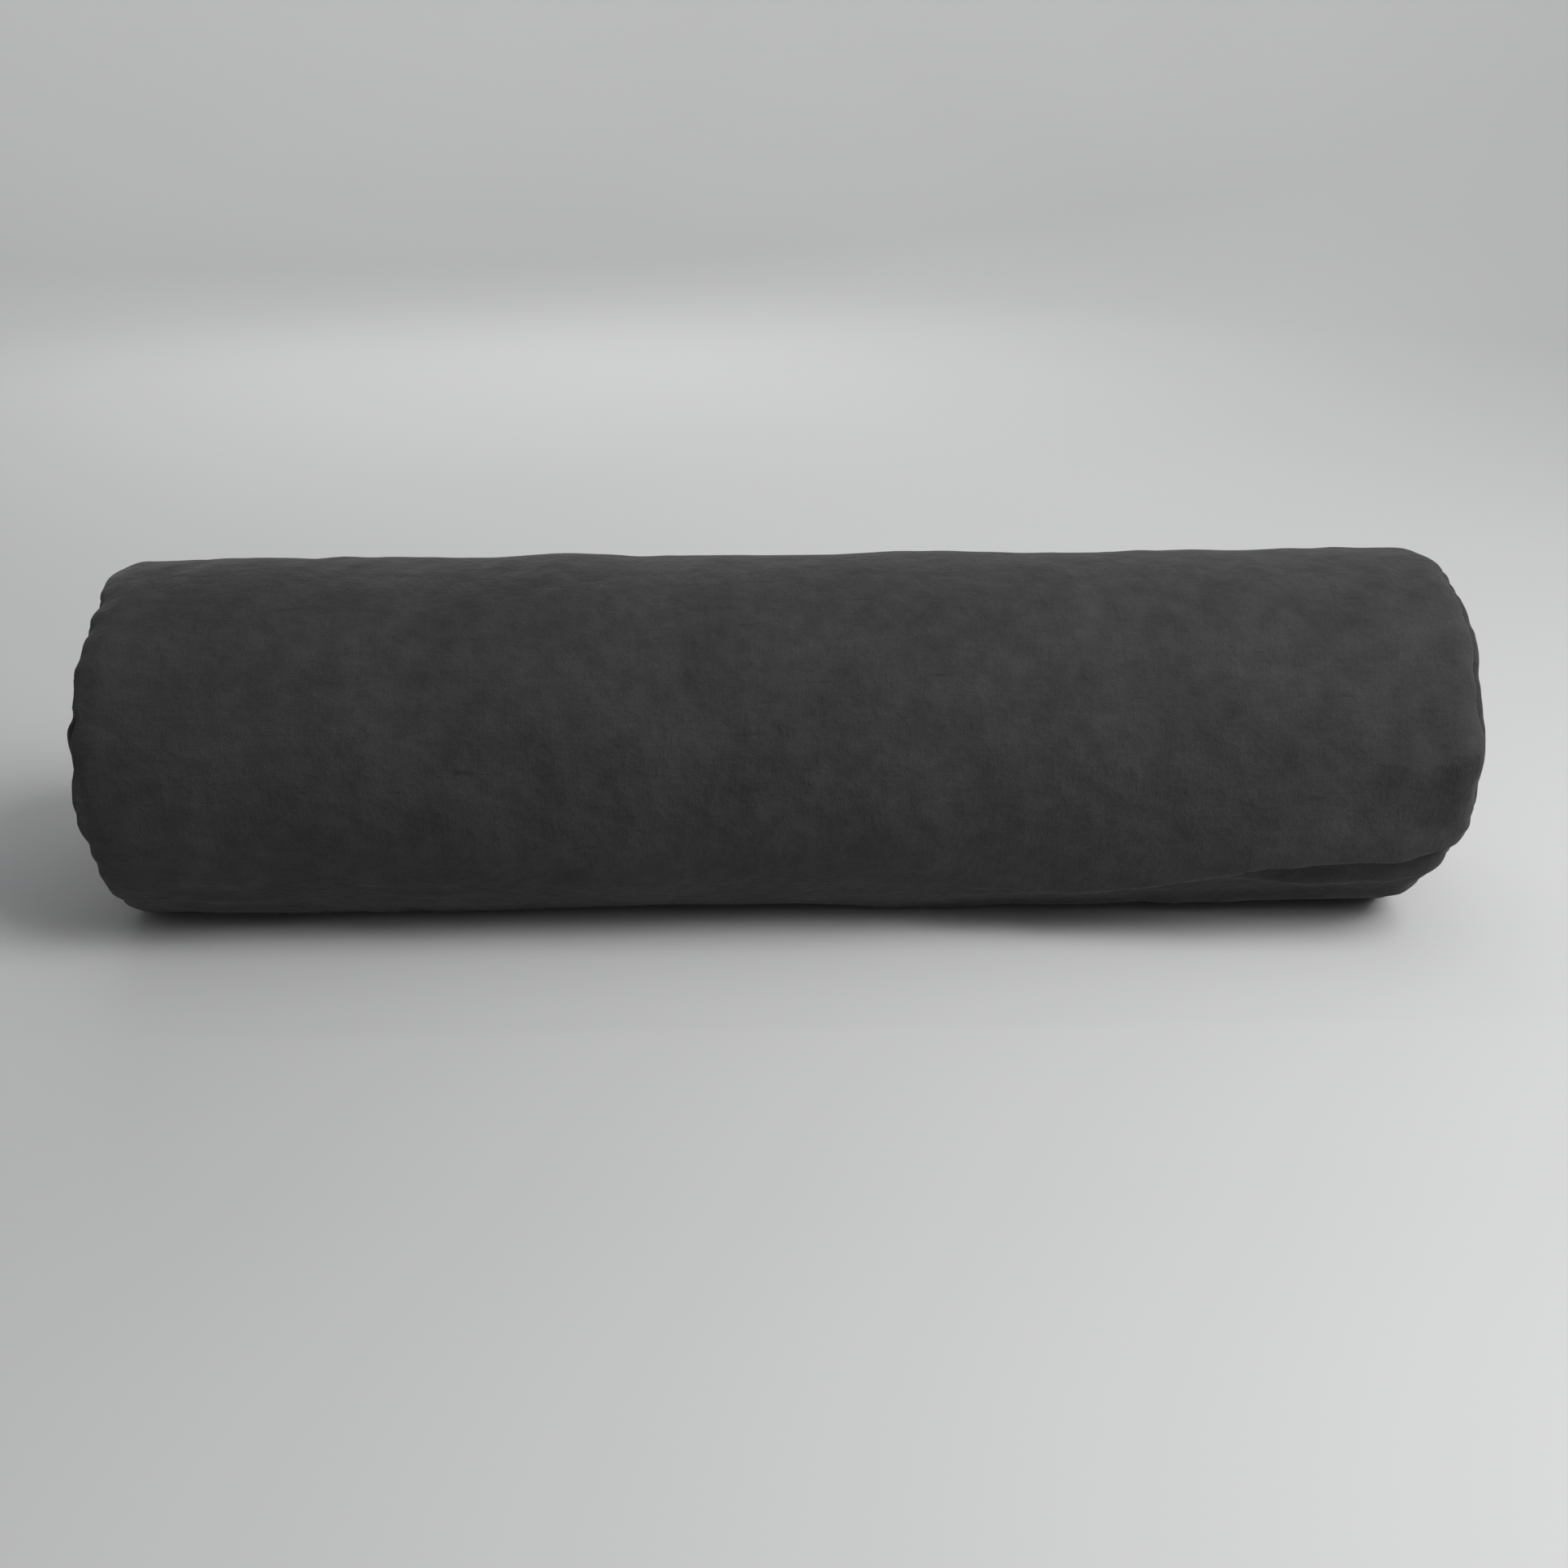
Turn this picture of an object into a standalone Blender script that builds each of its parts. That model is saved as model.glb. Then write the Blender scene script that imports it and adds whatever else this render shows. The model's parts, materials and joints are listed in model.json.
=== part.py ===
"""A massage bolster pillow: a foam cylinder in padding, a sewn liner and a zipped cloth cover.

It lies along X on a small flat of its own, with its origin on the floor under its middle.
The foam core's ends are flat, and the padding over them crowns. Every cloth layer is the
padding's outline moved outwards, so that each layer follows the one inside it. The zip runs along the back of the cover, above the middle, in a
frame of its own whose X is along the zip and whose Z points out of the cover.
"""

import math

import bmesh
import bpy
from mathutils import Vector

# Driving sizes, in metres.
CORE_DIAMETER = 0.152
CORE_LENGTH = 0.620
CORE_ROUNDING = 0.008
PADDING_THICKNESS = 0.0075
END_PADDING = 0.0178  # over the middle of each end of the core
RIM_ROUNDING = 0.0158  # of the padding, between its side and its crowned ends
END_SLOPE = math.radians(13)  # of the crowned ends, where they meet the rounded rim
LINER_WALL = 0.0006
COVER_WALL = 0.0010
CLEARANCE = 0.0003  # between two pieces that touch

REST_FLAT_DEPTH = 0.003  # how far the bolster flattens where it lies
SEAM_ANGLE = math.radians(45)  # where the end seam lies on the rounded rim
ZIP_ANGLE = math.radians(30)  # above the level of the axis, at the back

ZIP_INSET = 0.060  # from each end of the core to the chain
TAPE_WIDTH = 0.0147
TAPE_THICKNESS = 0.0006
TAPE_END = 0.012  # tape beyond the stops, under the cover
TAPE_SIDE_ROOM = 0.0017  # the cover is flat over the stiff tapes, and this much wider
CHAIN_GAP = 0.0012  # between the two tapes, where the slider's post runs
COIL_WIDTH = 0.0024
COIL_HEIGHT = 0.0022
TOP_STOP_LENGTH = 0.0025
BOTTOM_STOP_LENGTH = 0.0040
SLOT_END = 0.002  # slot beyond the stops

SLIDER_LENGTH = 0.011
SLIDER_PLATE = 0.0009
SLIDER_FLANGE = 0.0009
SLIDER_PLAY = 0.00035  # round the coils, the tapes and the stops
SLIDER_SIDE_ROOM = 0.0005  # beside the slider, in the cover's slot
SLIDER_NARROWING = 0.0007  # each side, from the slider's mouth to its tail
SLIDER_LIP = 0.0002  # the plates stand out beyond the flanges
POST_WIDTH = 0.0006
POST_LENGTH = 0.0030
CROWN_LENGTH = 0.0072
CROWN_WIDTH = 0.0022
CROWN_LEG = 0.0012
CROWN_TOP = 0.0010
CROWN_CORNER = 0.0007

PULL_LENGTH = 0.028
PULL_WIDTH = 0.0080
PULL_THICKNESS = 0.0012
PULL_BAR = 0.0012  # the bar that passes under the crown
PULL_SIDE_ROOM = 0.0007  # beside the crown, in the pull's window
PULL_HOLE_WIDTH = 0.0032
PULL_HOLE_LENGTH = 0.0090
PULL_END = 0.0030  # metal beyond the hole

THREAD = 0.0005
THREAD_SIDES = 8
TOPSTITCH_INSET = 0.0035  # from the slot's edge
TACK_LENGTH = 0.0018

TURN_STEPS = 48
ARC_STEPS = 5
CROWN_STEPS = 3
CUTTER_REACH = 0.050  # how far a cutter runs past what it cuts

# Each layer's faces, as distances outwards from the core's side.
PADDING_INSIDE = CLEARANCE
PADDING_OUTSIDE = PADDING_INSIDE + PADDING_THICKNESS
LINER_INSIDE = PADDING_OUTSIDE + CLEARANCE
LINER_OUTSIDE = LINER_INSIDE + LINER_WALL
COVER_INSIDE = LINER_OUTSIDE + CLEARANCE
COVER_OUTSIDE = COVER_INSIDE + COVER_WALL

COVER_RADIUS = CORE_DIAMETER / 2 + COVER_OUTSIDE
AXIS_HEIGHT = COVER_RADIUS - REST_FLAT_DEPTH

# Every cloth layer's rim is rounded about one circle, and its ends about one point.
RIM_CIRCLE = CORE_DIAMETER / 2 + PADDING_OUTSIDE - RIM_ROUNDING
CROWN_RADIUS = RIM_CIRCLE / math.sin(END_SLOPE) + RIM_ROUNDING
CROWN_CENTRE = CORE_LENGTH / 2 + END_PADDING - CROWN_RADIUS
RIM_CENTRE = CROWN_CENTRE + (CROWN_RADIUS - RIM_ROUNDING) * math.cos(END_SLOPE)

# Distances from the axis, along the zip's outward direction.
ZIP_FLAT_HALF = CHAIN_GAP / 2 + TAPE_WIDTH + TAPE_SIDE_ROOM
COVER_FLAT = math.sqrt(COVER_RADIUS**2 - ZIP_FLAT_HALF**2)
TAPE_TOP = COVER_FLAT - COVER_WALL - CLEARANCE
TAPE_BOTTOM = TAPE_TOP - TAPE_THICKNESS
LINER_FLAT = TAPE_BOTTOM - CLEARANCE
COIL_BOTTOM = TAPE_TOP + CLEARANCE
COIL_TOP = COIL_BOTTOM + COIL_HEIGHT
LOWER_PLATE_TOP = TAPE_BOTTOM - SLIDER_PLAY
LOWER_PLATE_BOTTOM = LOWER_PLATE_TOP - SLIDER_PLATE
UPPER_PLATE_BOTTOM = COIL_TOP + SLIDER_PLAY
UPPER_PLATE_TOP = UPPER_PLATE_BOTTOM + SLIDER_PLATE
LINER_GROOVE = LOWER_PLATE_BOTTOM - SLIDER_PLAY

CHAIN_LENGTH = CORE_LENGTH - 2 * ZIP_INSET
SLIDER_X = (CHAIN_LENGTH - SLIDER_LENGTH) / 2  # the slider's middle, zipped shut

# Half widths across the zip.
CHAIN_HALF = CHAIN_GAP / 2 + COIL_WIDTH
SLIDER_HALF = CHAIN_HALF + SLIDER_PLAY + SLIDER_FLANGE + SLIDER_LIP + SLIDER_NARROWING
SLOT_HALF = SLIDER_HALF + SLIDER_SIDE_ROOM

# The pull turns on its bar, which clears the plate and the crown at every angle.
PULL_BAR_REACH = PULL_BAR / math.sqrt(2)
PULL_AXIS = UPPER_PLATE_TOP + PULL_BAR_REACH + CLEARANCE
CROWN_INSIDE = PULL_AXIS + PULL_BAR_REACH + CLEARANCE
CROWN_OUTSIDE = CROWN_INSIDE + CROWN_TOP


def clear_scene():
    """Removes every object, and makes the two collections that this model uses."""
    for old in list(bpy.data.objects):
        bpy.data.objects.remove(old, do_unlink=True)
    made = []
    for name in ("bolster_pillow", "cutters"):
        made.append(bpy.data.collections.new(name))
        bpy.context.scene.collection.children.link(made[-1])
    return made


PARTS, CUTTERS = clear_scene()


def material(name, colour, roughness, metallic=0.0):
    """A plain surface of one colour."""
    made = bpy.data.materials.new(name)
    made.use_nodes = True
    shader = made.node_tree.nodes["Principled BSDF"]
    shader.inputs["Base Color"].default_value = (*colour, 1.0)
    shader.inputs["Roughness"].default_value = roughness
    shader.inputs["Metallic"].default_value = metallic
    return made


FOAM = material("foam", (0.80, 0.77, 0.66), 0.95)
PADDING = material("padding", (0.88, 0.88, 0.86), 0.95)
LINER_CLOTH = material("liner_cloth", (0.020, 0.020, 0.021), 0.90)
COVER_CLOTH = material("cover_cloth", (0.037, 0.037, 0.038), 0.92)
TAPE_CLOTH = material("zip_tape", (0.030, 0.030, 0.032), 0.85)
COIL_NYLON = material("zip_coil", (0.025, 0.025, 0.027), 0.45)
THREAD_FIBRE = material("thread", (0.040, 0.040, 0.042), 0.75)
ZIP_METAL = material("zip_metal", (0.10, 0.10, 0.11), 0.35, 0.9)


def place(obj, collection, parent=None, location=(0, 0, 0)):
    """Puts a new object in one collection, at a place in its parent's frame."""
    collection.objects.link(obj)
    obj.parent = parent
    obj.location = location
    if collection is CUTTERS:
        obj.hide_render = True
        obj.display_type = "WIRE"
    return obj


def empty_frame(name, location, tilt=0.0, parent=None):
    """An empty that carries pieces, tilted about X."""
    frame = place(bpy.data.objects.new(name, None), PARTS, parent, location)
    frame.rotation_euler.x = tilt
    return frame


# Pieces on the core's axis hang from AXIS, and zip pieces from ZIP_FRAME.
AXIS = empty_frame("bolster_axis", (0, 0, AXIS_HEIGHT))
ZIP_FRAME = empty_frame("zip_frame", (0, 0, 0), ZIP_ANGLE - math.pi / 2, AXIS)
SLIDER_FRAME = empty_frame("slider_frame", (SLIDER_X, 0, 0), 0.0, ZIP_FRAME)
PULL_FRAME = empty_frame("pull_frame", (0, 0, PULL_AXIS), 0.0, SLIDER_FRAME)


def block(name, low, high, parent, collection=PARTS, bevel=0.0):
    """A box between two corners in its parent's frame, with its edges rounded if asked."""
    low, high = Vector(low), Vector(high)
    mesh = bpy.data.meshes.new(name)
    shape = bmesh.new()
    bmesh.ops.create_cube(shape, size=1.0)
    bmesh.ops.scale(shape, vec=high - low, verts=shape.verts)
    shape.to_mesh(mesh)
    shape.free()
    obj = place(bpy.data.objects.new(name, mesh), collection, parent, (low + high) / 2)
    if bevel:
        rounding = obj.modifiers.new("rounding", "BEVEL")
        rounding.width = bevel
        rounding.segments = 2
    return obj


def plate(name, outlines, thickness, location, parent, collection=PARTS, upright=False):
    """A flat plate from closed outlines, centred on its thickness. An inner outline is a hole.

    An upright plate stands in its parent's XZ plane.
    """
    curve = bpy.data.curves.new(name, "CURVE")
    curve.dimensions = "2D"
    curve.fill_mode = "BOTH"
    curve.extrude = thickness / 2
    for outline in outlines:
        spline = curve.splines.new("POLY")
        spline.points.add(len(outline) - 1)
        for point, (x, y) in zip(spline.points, outline):
            point.co = (x, y, 0, 1)
        spline.use_cyclic_u = True
    guide = bpy.data.objects.new(name + "_outline", curve)
    bpy.context.scene.collection.objects.link(guide)
    graph = bpy.context.evaluated_depsgraph_get()
    mesh = bpy.data.meshes.new_from_object(guide.evaluated_get(graph))
    bpy.data.objects.remove(guide)
    shape = bmesh.new()
    shape.from_mesh(mesh)
    bmesh.ops.remove_doubles(shape, verts=shape.verts, dist=1e-6)
    bmesh.ops.recalc_face_normals(shape, faces=shape.faces)
    shape.to_mesh(mesh)
    shape.free()
    mesh.name = name
    obj = place(bpy.data.objects.new(name, mesh), collection, parent, location)
    if upright:
        obj.rotation_euler.x = math.pi / 2
    return obj


def boolean(obj, other, operation):
    """Cuts, joins or trims obj with another mesh object."""
    modifier = obj.modifiers.new(other.name, "BOOLEAN")
    modifier.operation = operation
    modifier.object = other
    modifier.solver = "EXACT"
    return obj


def arc(centre, middle, radius, start, end, steps):
    """Points of an arc as (distance from the axis, distance along it), by angle from the side."""
    angles = (start + (end - start) * step / steps for step in range(steps + 1))
    return [(centre + radius * math.cos(a), middle + radius * math.sin(a)) for a in angles]


def core_outline(offset):
    """Half of the flat-ended core's long section, moved outwards, from its end to its middle."""
    rounding = CORE_ROUNDING + offset
    centre = CORE_DIAMETER / 2 - CORE_ROUNDING
    middle = CORE_LENGTH / 2 - CORE_ROUNDING
    rim = arc(centre, middle, rounding, math.pi / 2, 0, ARC_STEPS)
    return [(0.0, middle + rounding), *rim]


def layer_outline(offset):
    """The same for a layer at a distance from the core's side, whose ends are crowned."""
    grown = offset - PADDING_OUTSIDE
    turn = math.pi / 2 - END_SLOPE
    crown = arc(0, CROWN_CENTRE, CROWN_RADIUS + grown, math.pi / 2, turn, CROWN_STEPS)
    rim = arc(RIM_CIRCLE, RIM_CENTRE, RIM_ROUNDING + grown, turn, 0, ARC_STEPS)
    return [(0.0, crown[0][1]), *crown[1:], *rim[1:]]


def turned(name, outline, collection):
    """An outline and its mirror image, turned about the bolster's axis."""
    outline = outline + [(r, -z) for r, z in reversed(outline)]
    mesh = bpy.data.meshes.new(name)
    points = [(r, 0.0, z) for r, z in outline]
    mesh.from_pydata(points, [(i, i + 1) for i in range(len(points) - 1)], [])
    obj = place(bpy.data.objects.new(name, mesh), collection, AXIS)
    obj.rotation_euler.y = math.pi / 2
    turn = obj.modifiers.new("turn", "SCREW")
    turn.axis = "Z"
    turn.steps = TURN_STEPS
    turn.render_steps = TURN_STEPS
    turn.use_merge_vertices = True
    turn.merge_threshold = 0.0001
    turn.use_smooth_shade = False
    return obj


def cut_below(obj, offset):
    """Flattens a layer where the bolster lies on it."""
    top = COVER_OUTSIDE - offset - AXIS_HEIGHT
    reach = CORE_LENGTH + CUTTER_REACH
    low = (-reach, -reach, top - CUTTER_REACH)
    boolean(obj, block(obj.name + "_floor", low, (reach, reach, top), AXIS, CUTTERS), "DIFFERENCE")


def cut_behind_zip(obj, distance, groove_grows=None):
    """Flattens a layer under the zip, and sinks a groove for the slider if asked."""
    reach = CORE_LENGTH + CUTTER_REACH
    wide = 2 * ZIP_FLAT_HALF
    low, high = (-reach, -wide, distance), (reach, wide, distance + CUTTER_REACH)
    boolean(obj, block(obj.name + "_zip_flat", low, high, ZIP_FRAME, CUTTERS), "DIFFERENCE")
    if groove_grows is None:
        return
    long = CHAIN_LENGTH / 2 + BOTTOM_STOP_LENGTH + groove_grows
    half = SLOT_HALF + groove_grows
    low = (-long, -half, LINER_GROOVE - groove_grows)
    high = (long, half, distance + CUTTER_REACH)
    boolean(obj, block(obj.name + "_groove", low, high, ZIP_FRAME, CUTTERS), "DIFFERENCE")


def layer_body(name, offset, collection):
    """The whole bolster out to one face of a layer, flattened below and behind the zip."""
    obj = turned(name, layer_outline(offset), collection)
    cut_below(obj, offset)
    if offset >= COVER_INSIDE:
        cut_behind_zip(obj, COVER_FLAT - (COVER_OUTSIDE - offset))
    else:
        sunk = LINER_OUTSIDE - offset
        cut_behind_zip(obj, LINER_FLAT - sunk, sunk)
    return obj


def layer(names, outside, void, split, finish):
    """A layer's sleeve and its two end discs, which part at the distance split along X."""
    wide = 2 * COVER_RADIUS
    far = CORE_LENGTH + CUTTER_REACH
    zones = {
        "sleeve": (-split + CLEARANCE / 2, split - CLEARANCE / 2),
        "left": (-far, -split - CLEARANCE / 2),
        "right": (split + CLEARANCE / 2, far),
    }
    made = {}
    for key, (start, end) in zones.items():
        name = names[key]
        zone = block(name + "_zone", (start, -wide, -wide), (end, wide, wide), AXIS, CUTTERS)
        obj = layer_body(name, outside, PARTS)
        boolean(obj, void, "DIFFERENCE")
        boolean(obj, zone, "INTERSECT")
        obj.data.materials.append(finish)
        made[key] = obj
    return made


def seam_place(offset):
    """How far along X a layer's end seam lies, on its rounded rim."""
    rounding = RIM_ROUNDING + offset - PADDING_OUTSIDE
    return RIM_CENTRE + rounding * math.sin(SEAM_ANGLE)


def make_core():
    core = turned("foam_core", core_outline(0.0), PARTS)
    core.data.materials.append(FOAM)


def make_padding():
    """The padding is a wrap round the core, and a disc on each end over the wrap's edge."""
    void = turned("padding_void", core_outline(PADDING_INSIDE), CUTTERS)
    names = {"sleeve": "padding_wrap", "left": "padding_end_left", "right": "padding_end_right"}
    split = CORE_LENGTH / 2 + CLEARANCE / 2
    layer(names, PADDING_OUTSIDE, void, split, PADDING)


def make_liner():
    void = layer_body("liner_void", LINER_INSIDE, CUTTERS)
    names = {"sleeve": "liner_sleeve", "left": "liner_end_left", "right": "liner_end_right"}
    layer(names, LINER_OUTSIDE, void, seam_place(LINER_OUTSIDE), LINER_CLOTH)


def make_cover():
    """The cloth cover: a sleeve with a slot for the zip, and a disc sewn in at each end."""
    void = layer_body("cover_void", COVER_INSIDE, CUTTERS)
    names = {"sleeve": "cover_sleeve", "left": "cover_end_left", "right": "cover_end_right"}
    pieces = layer(names, COVER_OUTSIDE, void, seam_place(COVER_OUTSIDE), COVER_CLOTH)
    long = CHAIN_LENGTH / 2 + SLOT_END
    low = (-long - BOTTOM_STOP_LENGTH, -SLOT_HALF, TAPE_BOTTOM)
    high = (long + TOP_STOP_LENGTH, SLOT_HALF, COVER_FLAT + CUTTER_REACH)
    slot = block("zip_slot", low, high, ZIP_FRAME, CUTTERS)
    boolean(pieces["sleeve"], slot, "DIFFERENCE")


def make_rim_seams():
    """The thread that sews each end disc to the sleeve, as one ring on the rounded rim."""
    stand = RIM_ROUNDING + COVER_OUTSIDE - PADDING_OUTSIDE + CLEARANCE + THREAD / 2
    radius = RIM_CIRCLE + stand * math.cos(SEAM_ANGLE)
    middle = RIM_CENTRE + stand * math.sin(SEAM_ANGLE)
    for word, side in (("left", -1), ("right", 1)):
        bpy.ops.mesh.primitive_torus_add(
            major_segments=TURN_STEPS,
            minor_segments=THREAD_SIDES,
            major_radius=radius,
            minor_radius=THREAD / 2,
        )
        seam = bpy.context.object
        seam.name = f"rim_seam_{word}"
        for collection in list(seam.users_collection):
            collection.objects.unlink(seam)
        place(seam, PARTS, AXIS, (side * middle, 0, 0))
        seam.rotation_euler.y = math.pi / 2
        seam.data.materials.append(THREAD_FIBRE)


def across(side, near, far):
    """Two distances across the zip, in rising order, on the side that the sign gives."""
    return sorted((side * near, side * far))


def make_zip_sides():
    """The tapes, coils, top stops and stitch rows, one of each above and below the chain."""
    half = CHAIN_LENGTH / 2
    inner = CHAIN_GAP / 2
    tape_end = half + BOTTOM_STOP_LENGTH + TAPE_END
    stitch_near = SLOT_HALF + TOPSTITCH_INSET
    stitch_bottom = COVER_FLAT + CLEARANCE
    for word, side in (("upper", -1), ("lower", 1)):
        near, far = across(side, inner, inner + TAPE_WIDTH)
        low, high = (-tape_end, near, TAPE_BOTTOM), (tape_end, far, TAPE_TOP)
        tape = block(f"zip_tape_{word}", low, high, ZIP_FRAME)
        tape.data.materials.append(TAPE_CLOTH)

        near, far = across(side, inner, CHAIN_HALF)
        low, high = (-half, near, COIL_BOTTOM), (half, far, COIL_TOP)
        coil = block(f"zip_coil_{word}", low, high, ZIP_FRAME, bevel=COIL_HEIGHT / 4)
        coil.data.materials.append(COIL_NYLON)

        start = half + CLEARANCE
        low = (start, near, COIL_BOTTOM)
        high = (start + TOP_STOP_LENGTH, far, COIL_TOP)
        stop = block(f"zip_top_stop_{word}", low, high, ZIP_FRAME, bevel=COIL_HEIGHT / 6)
        stop.data.materials.append(ZIP_METAL)

        near, far = across(side, stitch_near, stitch_near + THREAD)
        low = (-half, near, stitch_bottom)
        high = (half, far, stitch_bottom + THREAD)
        stitches = block(f"zip_topstitch_{word}", low, high, ZIP_FRAME)
        stitches.data.materials.append(THREAD_FIBRE)


def make_zip_ends():
    """The bottom stop, and a bar tack across each end of the slot."""
    end = -CHAIN_LENGTH / 2 - CLEARANCE
    low = (end - BOTTOM_STOP_LENGTH, -CHAIN_HALF, COIL_BOTTOM)
    high = (end, CHAIN_HALF, COIL_TOP)
    stop = block("zip_bottom_stop", low, high, ZIP_FRAME, bevel=COIL_HEIGHT / 6)
    stop.data.materials.append(ZIP_METAL)

    low_edge = COVER_FLAT + CLEARANCE
    slot_left = -CHAIN_LENGTH / 2 - SLOT_END - BOTTOM_STOP_LENGTH
    slot_right = CHAIN_LENGTH / 2 + SLOT_END + TOP_STOP_LENGTH
    for word, start in (
        ("left", slot_left - 2 * TACK_LENGTH),
        ("right", slot_right + TACK_LENGTH),
    ):
        low = (start, -SLOT_HALF, low_edge)
        high = (start + TACK_LENGTH, SLOT_HALF, low_edge + THREAD)
        tack = block(f"zip_bar_tack_{word}", low, high, ZIP_FRAME)
        tack.data.materials.append(THREAD_FIBRE)


def slider_outline():
    """A slider plate seen from above: wide at its mouth, which faces +X, narrow at its tail."""
    mouth = SLIDER_HALF
    tail = SLIDER_HALF - SLIDER_NARROWING
    half = SLIDER_LENGTH / 2
    corner = SLIDER_PLATE
    side = [(half - corner, mouth), (half, mouth - corner)]
    back = [(-half, tail - corner), (corner - half, tail)]
    upper = [*back, *side]
    return upper + [(x, -y) for x, y in reversed(upper)]


def crown_outline():
    """The arch over the slider's upper plate, seen from the side, about the pull's axis."""
    out, inside = CROWN_LENGTH / 2, CROWN_LENGTH / 2 - CROWN_LEG
    bottom = UPPER_PLATE_TOP - SLIDER_PLATE / 3 - PULL_AXIS
    top, under = CROWN_OUTSIDE - PULL_AXIS, CROWN_INSIDE - PULL_AXIS
    right = [
        (inside, bottom),
        (out, bottom),
        (out, top - CROWN_CORNER),
        (out - CROWN_CORNER, top),
    ]
    left = [(-x, z) for x, z in reversed(right)]
    return right + left + [(-inside, under), (inside, under)]


def make_slider():
    """Two plates round the chain, joined by the post that parts the coils, under a crown."""
    middle = (UPPER_PLATE_BOTTOM + UPPER_PLATE_TOP) / 2
    outline = [slider_outline()]
    slider = plate("zip_slider", outline, SLIDER_PLATE, (0, 0, middle), SLIDER_FRAME)
    middle = (LOWER_PLATE_BOTTOM + LOWER_PLATE_TOP) / 2
    location = (0, 0, middle)
    lower = plate("slider_lower_plate", outline, SLIDER_PLATE, location, SLIDER_FRAME, CUTTERS)

    deep = SLIDER_PLATE / 3  # how far a joined shape runs into a plate
    mouth = SLIDER_LENGTH / 2 - SLIDER_PLATE - SLIDER_LIP
    half = POST_WIDTH / 2
    low = (mouth - POST_LENGTH, -half, LOWER_PLATE_TOP - deep)
    high = (mouth, half, UPPER_PLATE_BOTTOM + deep)
    post = block("slider_post", low, high, SLIDER_FRAME, CUTTERS)

    crown = plate(
        "slider_crown", [crown_outline()], CROWN_WIDTH, (0, 0, PULL_AXIS), SLIDER_FRAME, CUTTERS, True
    )
    joined = [lower, post, crown]
    for side in (-1, 1):
        near = CHAIN_HALF + SLIDER_PLAY
        start, end = across(side, near, near + SLIDER_FLANGE)
        low = (-mouth, start, TAPE_TOP + SLIDER_PLAY)
        high = (mouth, end, UPPER_PLATE_BOTTOM + deep)
        joined.append(block(f"slider_flange_{side:+d}", low, high, SLIDER_FRAME, CUTTERS))
    for other in joined:
        boolean(slider, other, "UNION")
    slider.data.materials.append(ZIP_METAL)


def round_ended(x0, x1, half_width, rounding, steps=4):
    """A rectangle with rounded corners, as a closed outline."""
    outline = []
    corners = (
        (x1 - rounding, half_width - rounding, 0),
        (x0 + rounding, half_width - rounding, 90),
        (x0 + rounding, rounding - half_width, 180),
        (x1 - rounding, rounding - half_width, 270),
    )
    for x, y, start in corners:
        for step in range(steps + 1):
            angle = math.radians(start + 90 * step / steps)
            outline.append((x + rounding * math.cos(angle), y + rounding * math.sin(angle)))
    return outline


def make_pull():
    """The pull tab lies over the chain, towards -X, and turns about its bar under the crown."""
    bar = PULL_BAR / 2
    crown_corner = math.hypot(CROWN_LENGTH / 2, CROWN_OUTSIDE - PULL_AXIS)
    window_end = -(crown_corner + PULL_THICKNESS / 2)
    window_half = CROWN_WIDTH / 2 + PULL_SIDE_ROOM
    hole_start = PULL_END - PULL_LENGTH
    outlines = [
        round_ended(-PULL_LENGTH, bar, PULL_WIDTH / 2, bar),
        round_ended(window_end, -bar, window_half, bar, 1),
        round_ended(
            hole_start, hole_start + PULL_HOLE_LENGTH, PULL_HOLE_WIDTH / 2, PULL_HOLE_WIDTH / 2
        ),
    ]
    pull = plate("zip_pull_tab", outlines, PULL_THICKNESS, (0, 0, 0), PULL_FRAME)
    pull.data.materials.append(ZIP_METAL)


make_core()
make_padding()
make_liner()
make_cover()
make_rim_seams()
make_zip_sides()
make_zip_ends()
make_slider()
make_pull()
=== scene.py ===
import json
import math

import bmesh
import bpy
import numpy as np
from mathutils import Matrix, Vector


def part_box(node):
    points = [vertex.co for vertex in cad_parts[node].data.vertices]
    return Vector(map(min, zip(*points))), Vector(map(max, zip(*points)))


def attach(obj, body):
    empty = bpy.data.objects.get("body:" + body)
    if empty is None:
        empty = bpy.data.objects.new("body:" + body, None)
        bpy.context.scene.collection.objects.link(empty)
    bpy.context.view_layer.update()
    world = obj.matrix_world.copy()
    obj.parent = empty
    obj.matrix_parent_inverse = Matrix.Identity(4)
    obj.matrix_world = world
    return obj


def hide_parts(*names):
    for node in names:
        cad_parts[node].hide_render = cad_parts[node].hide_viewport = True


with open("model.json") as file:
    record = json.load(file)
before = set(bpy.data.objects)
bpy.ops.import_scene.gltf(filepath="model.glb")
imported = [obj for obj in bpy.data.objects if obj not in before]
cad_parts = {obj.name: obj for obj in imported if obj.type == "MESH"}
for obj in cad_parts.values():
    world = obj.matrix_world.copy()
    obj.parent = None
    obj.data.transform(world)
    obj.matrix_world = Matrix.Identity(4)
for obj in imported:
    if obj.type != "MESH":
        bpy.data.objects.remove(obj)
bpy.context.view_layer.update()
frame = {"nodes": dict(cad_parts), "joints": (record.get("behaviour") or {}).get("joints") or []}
MM = 0.001

# ---------------------------------------------------------------- places from the frame

SLEEVE_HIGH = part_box("cover_sleeve")[1]
RADIUS = SLEEVE_HIGH.y
AXIS_Z = SLEEVE_HIGH.z - RADIUS
HALF_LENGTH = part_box("cover_end_right")[1].x

# The pull tab turns about a line across the zip.
PULL_JOINT = next(joint for joint in frame["joints"] if joint["name"] == "pull_tab_hinge")
ZIP_ACROSS = Vector(PULL_JOINT["axis"]).normalized()
ZIP_OUT = Vector((1, 0, 0)).cross(ZIP_ACROSS)
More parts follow.
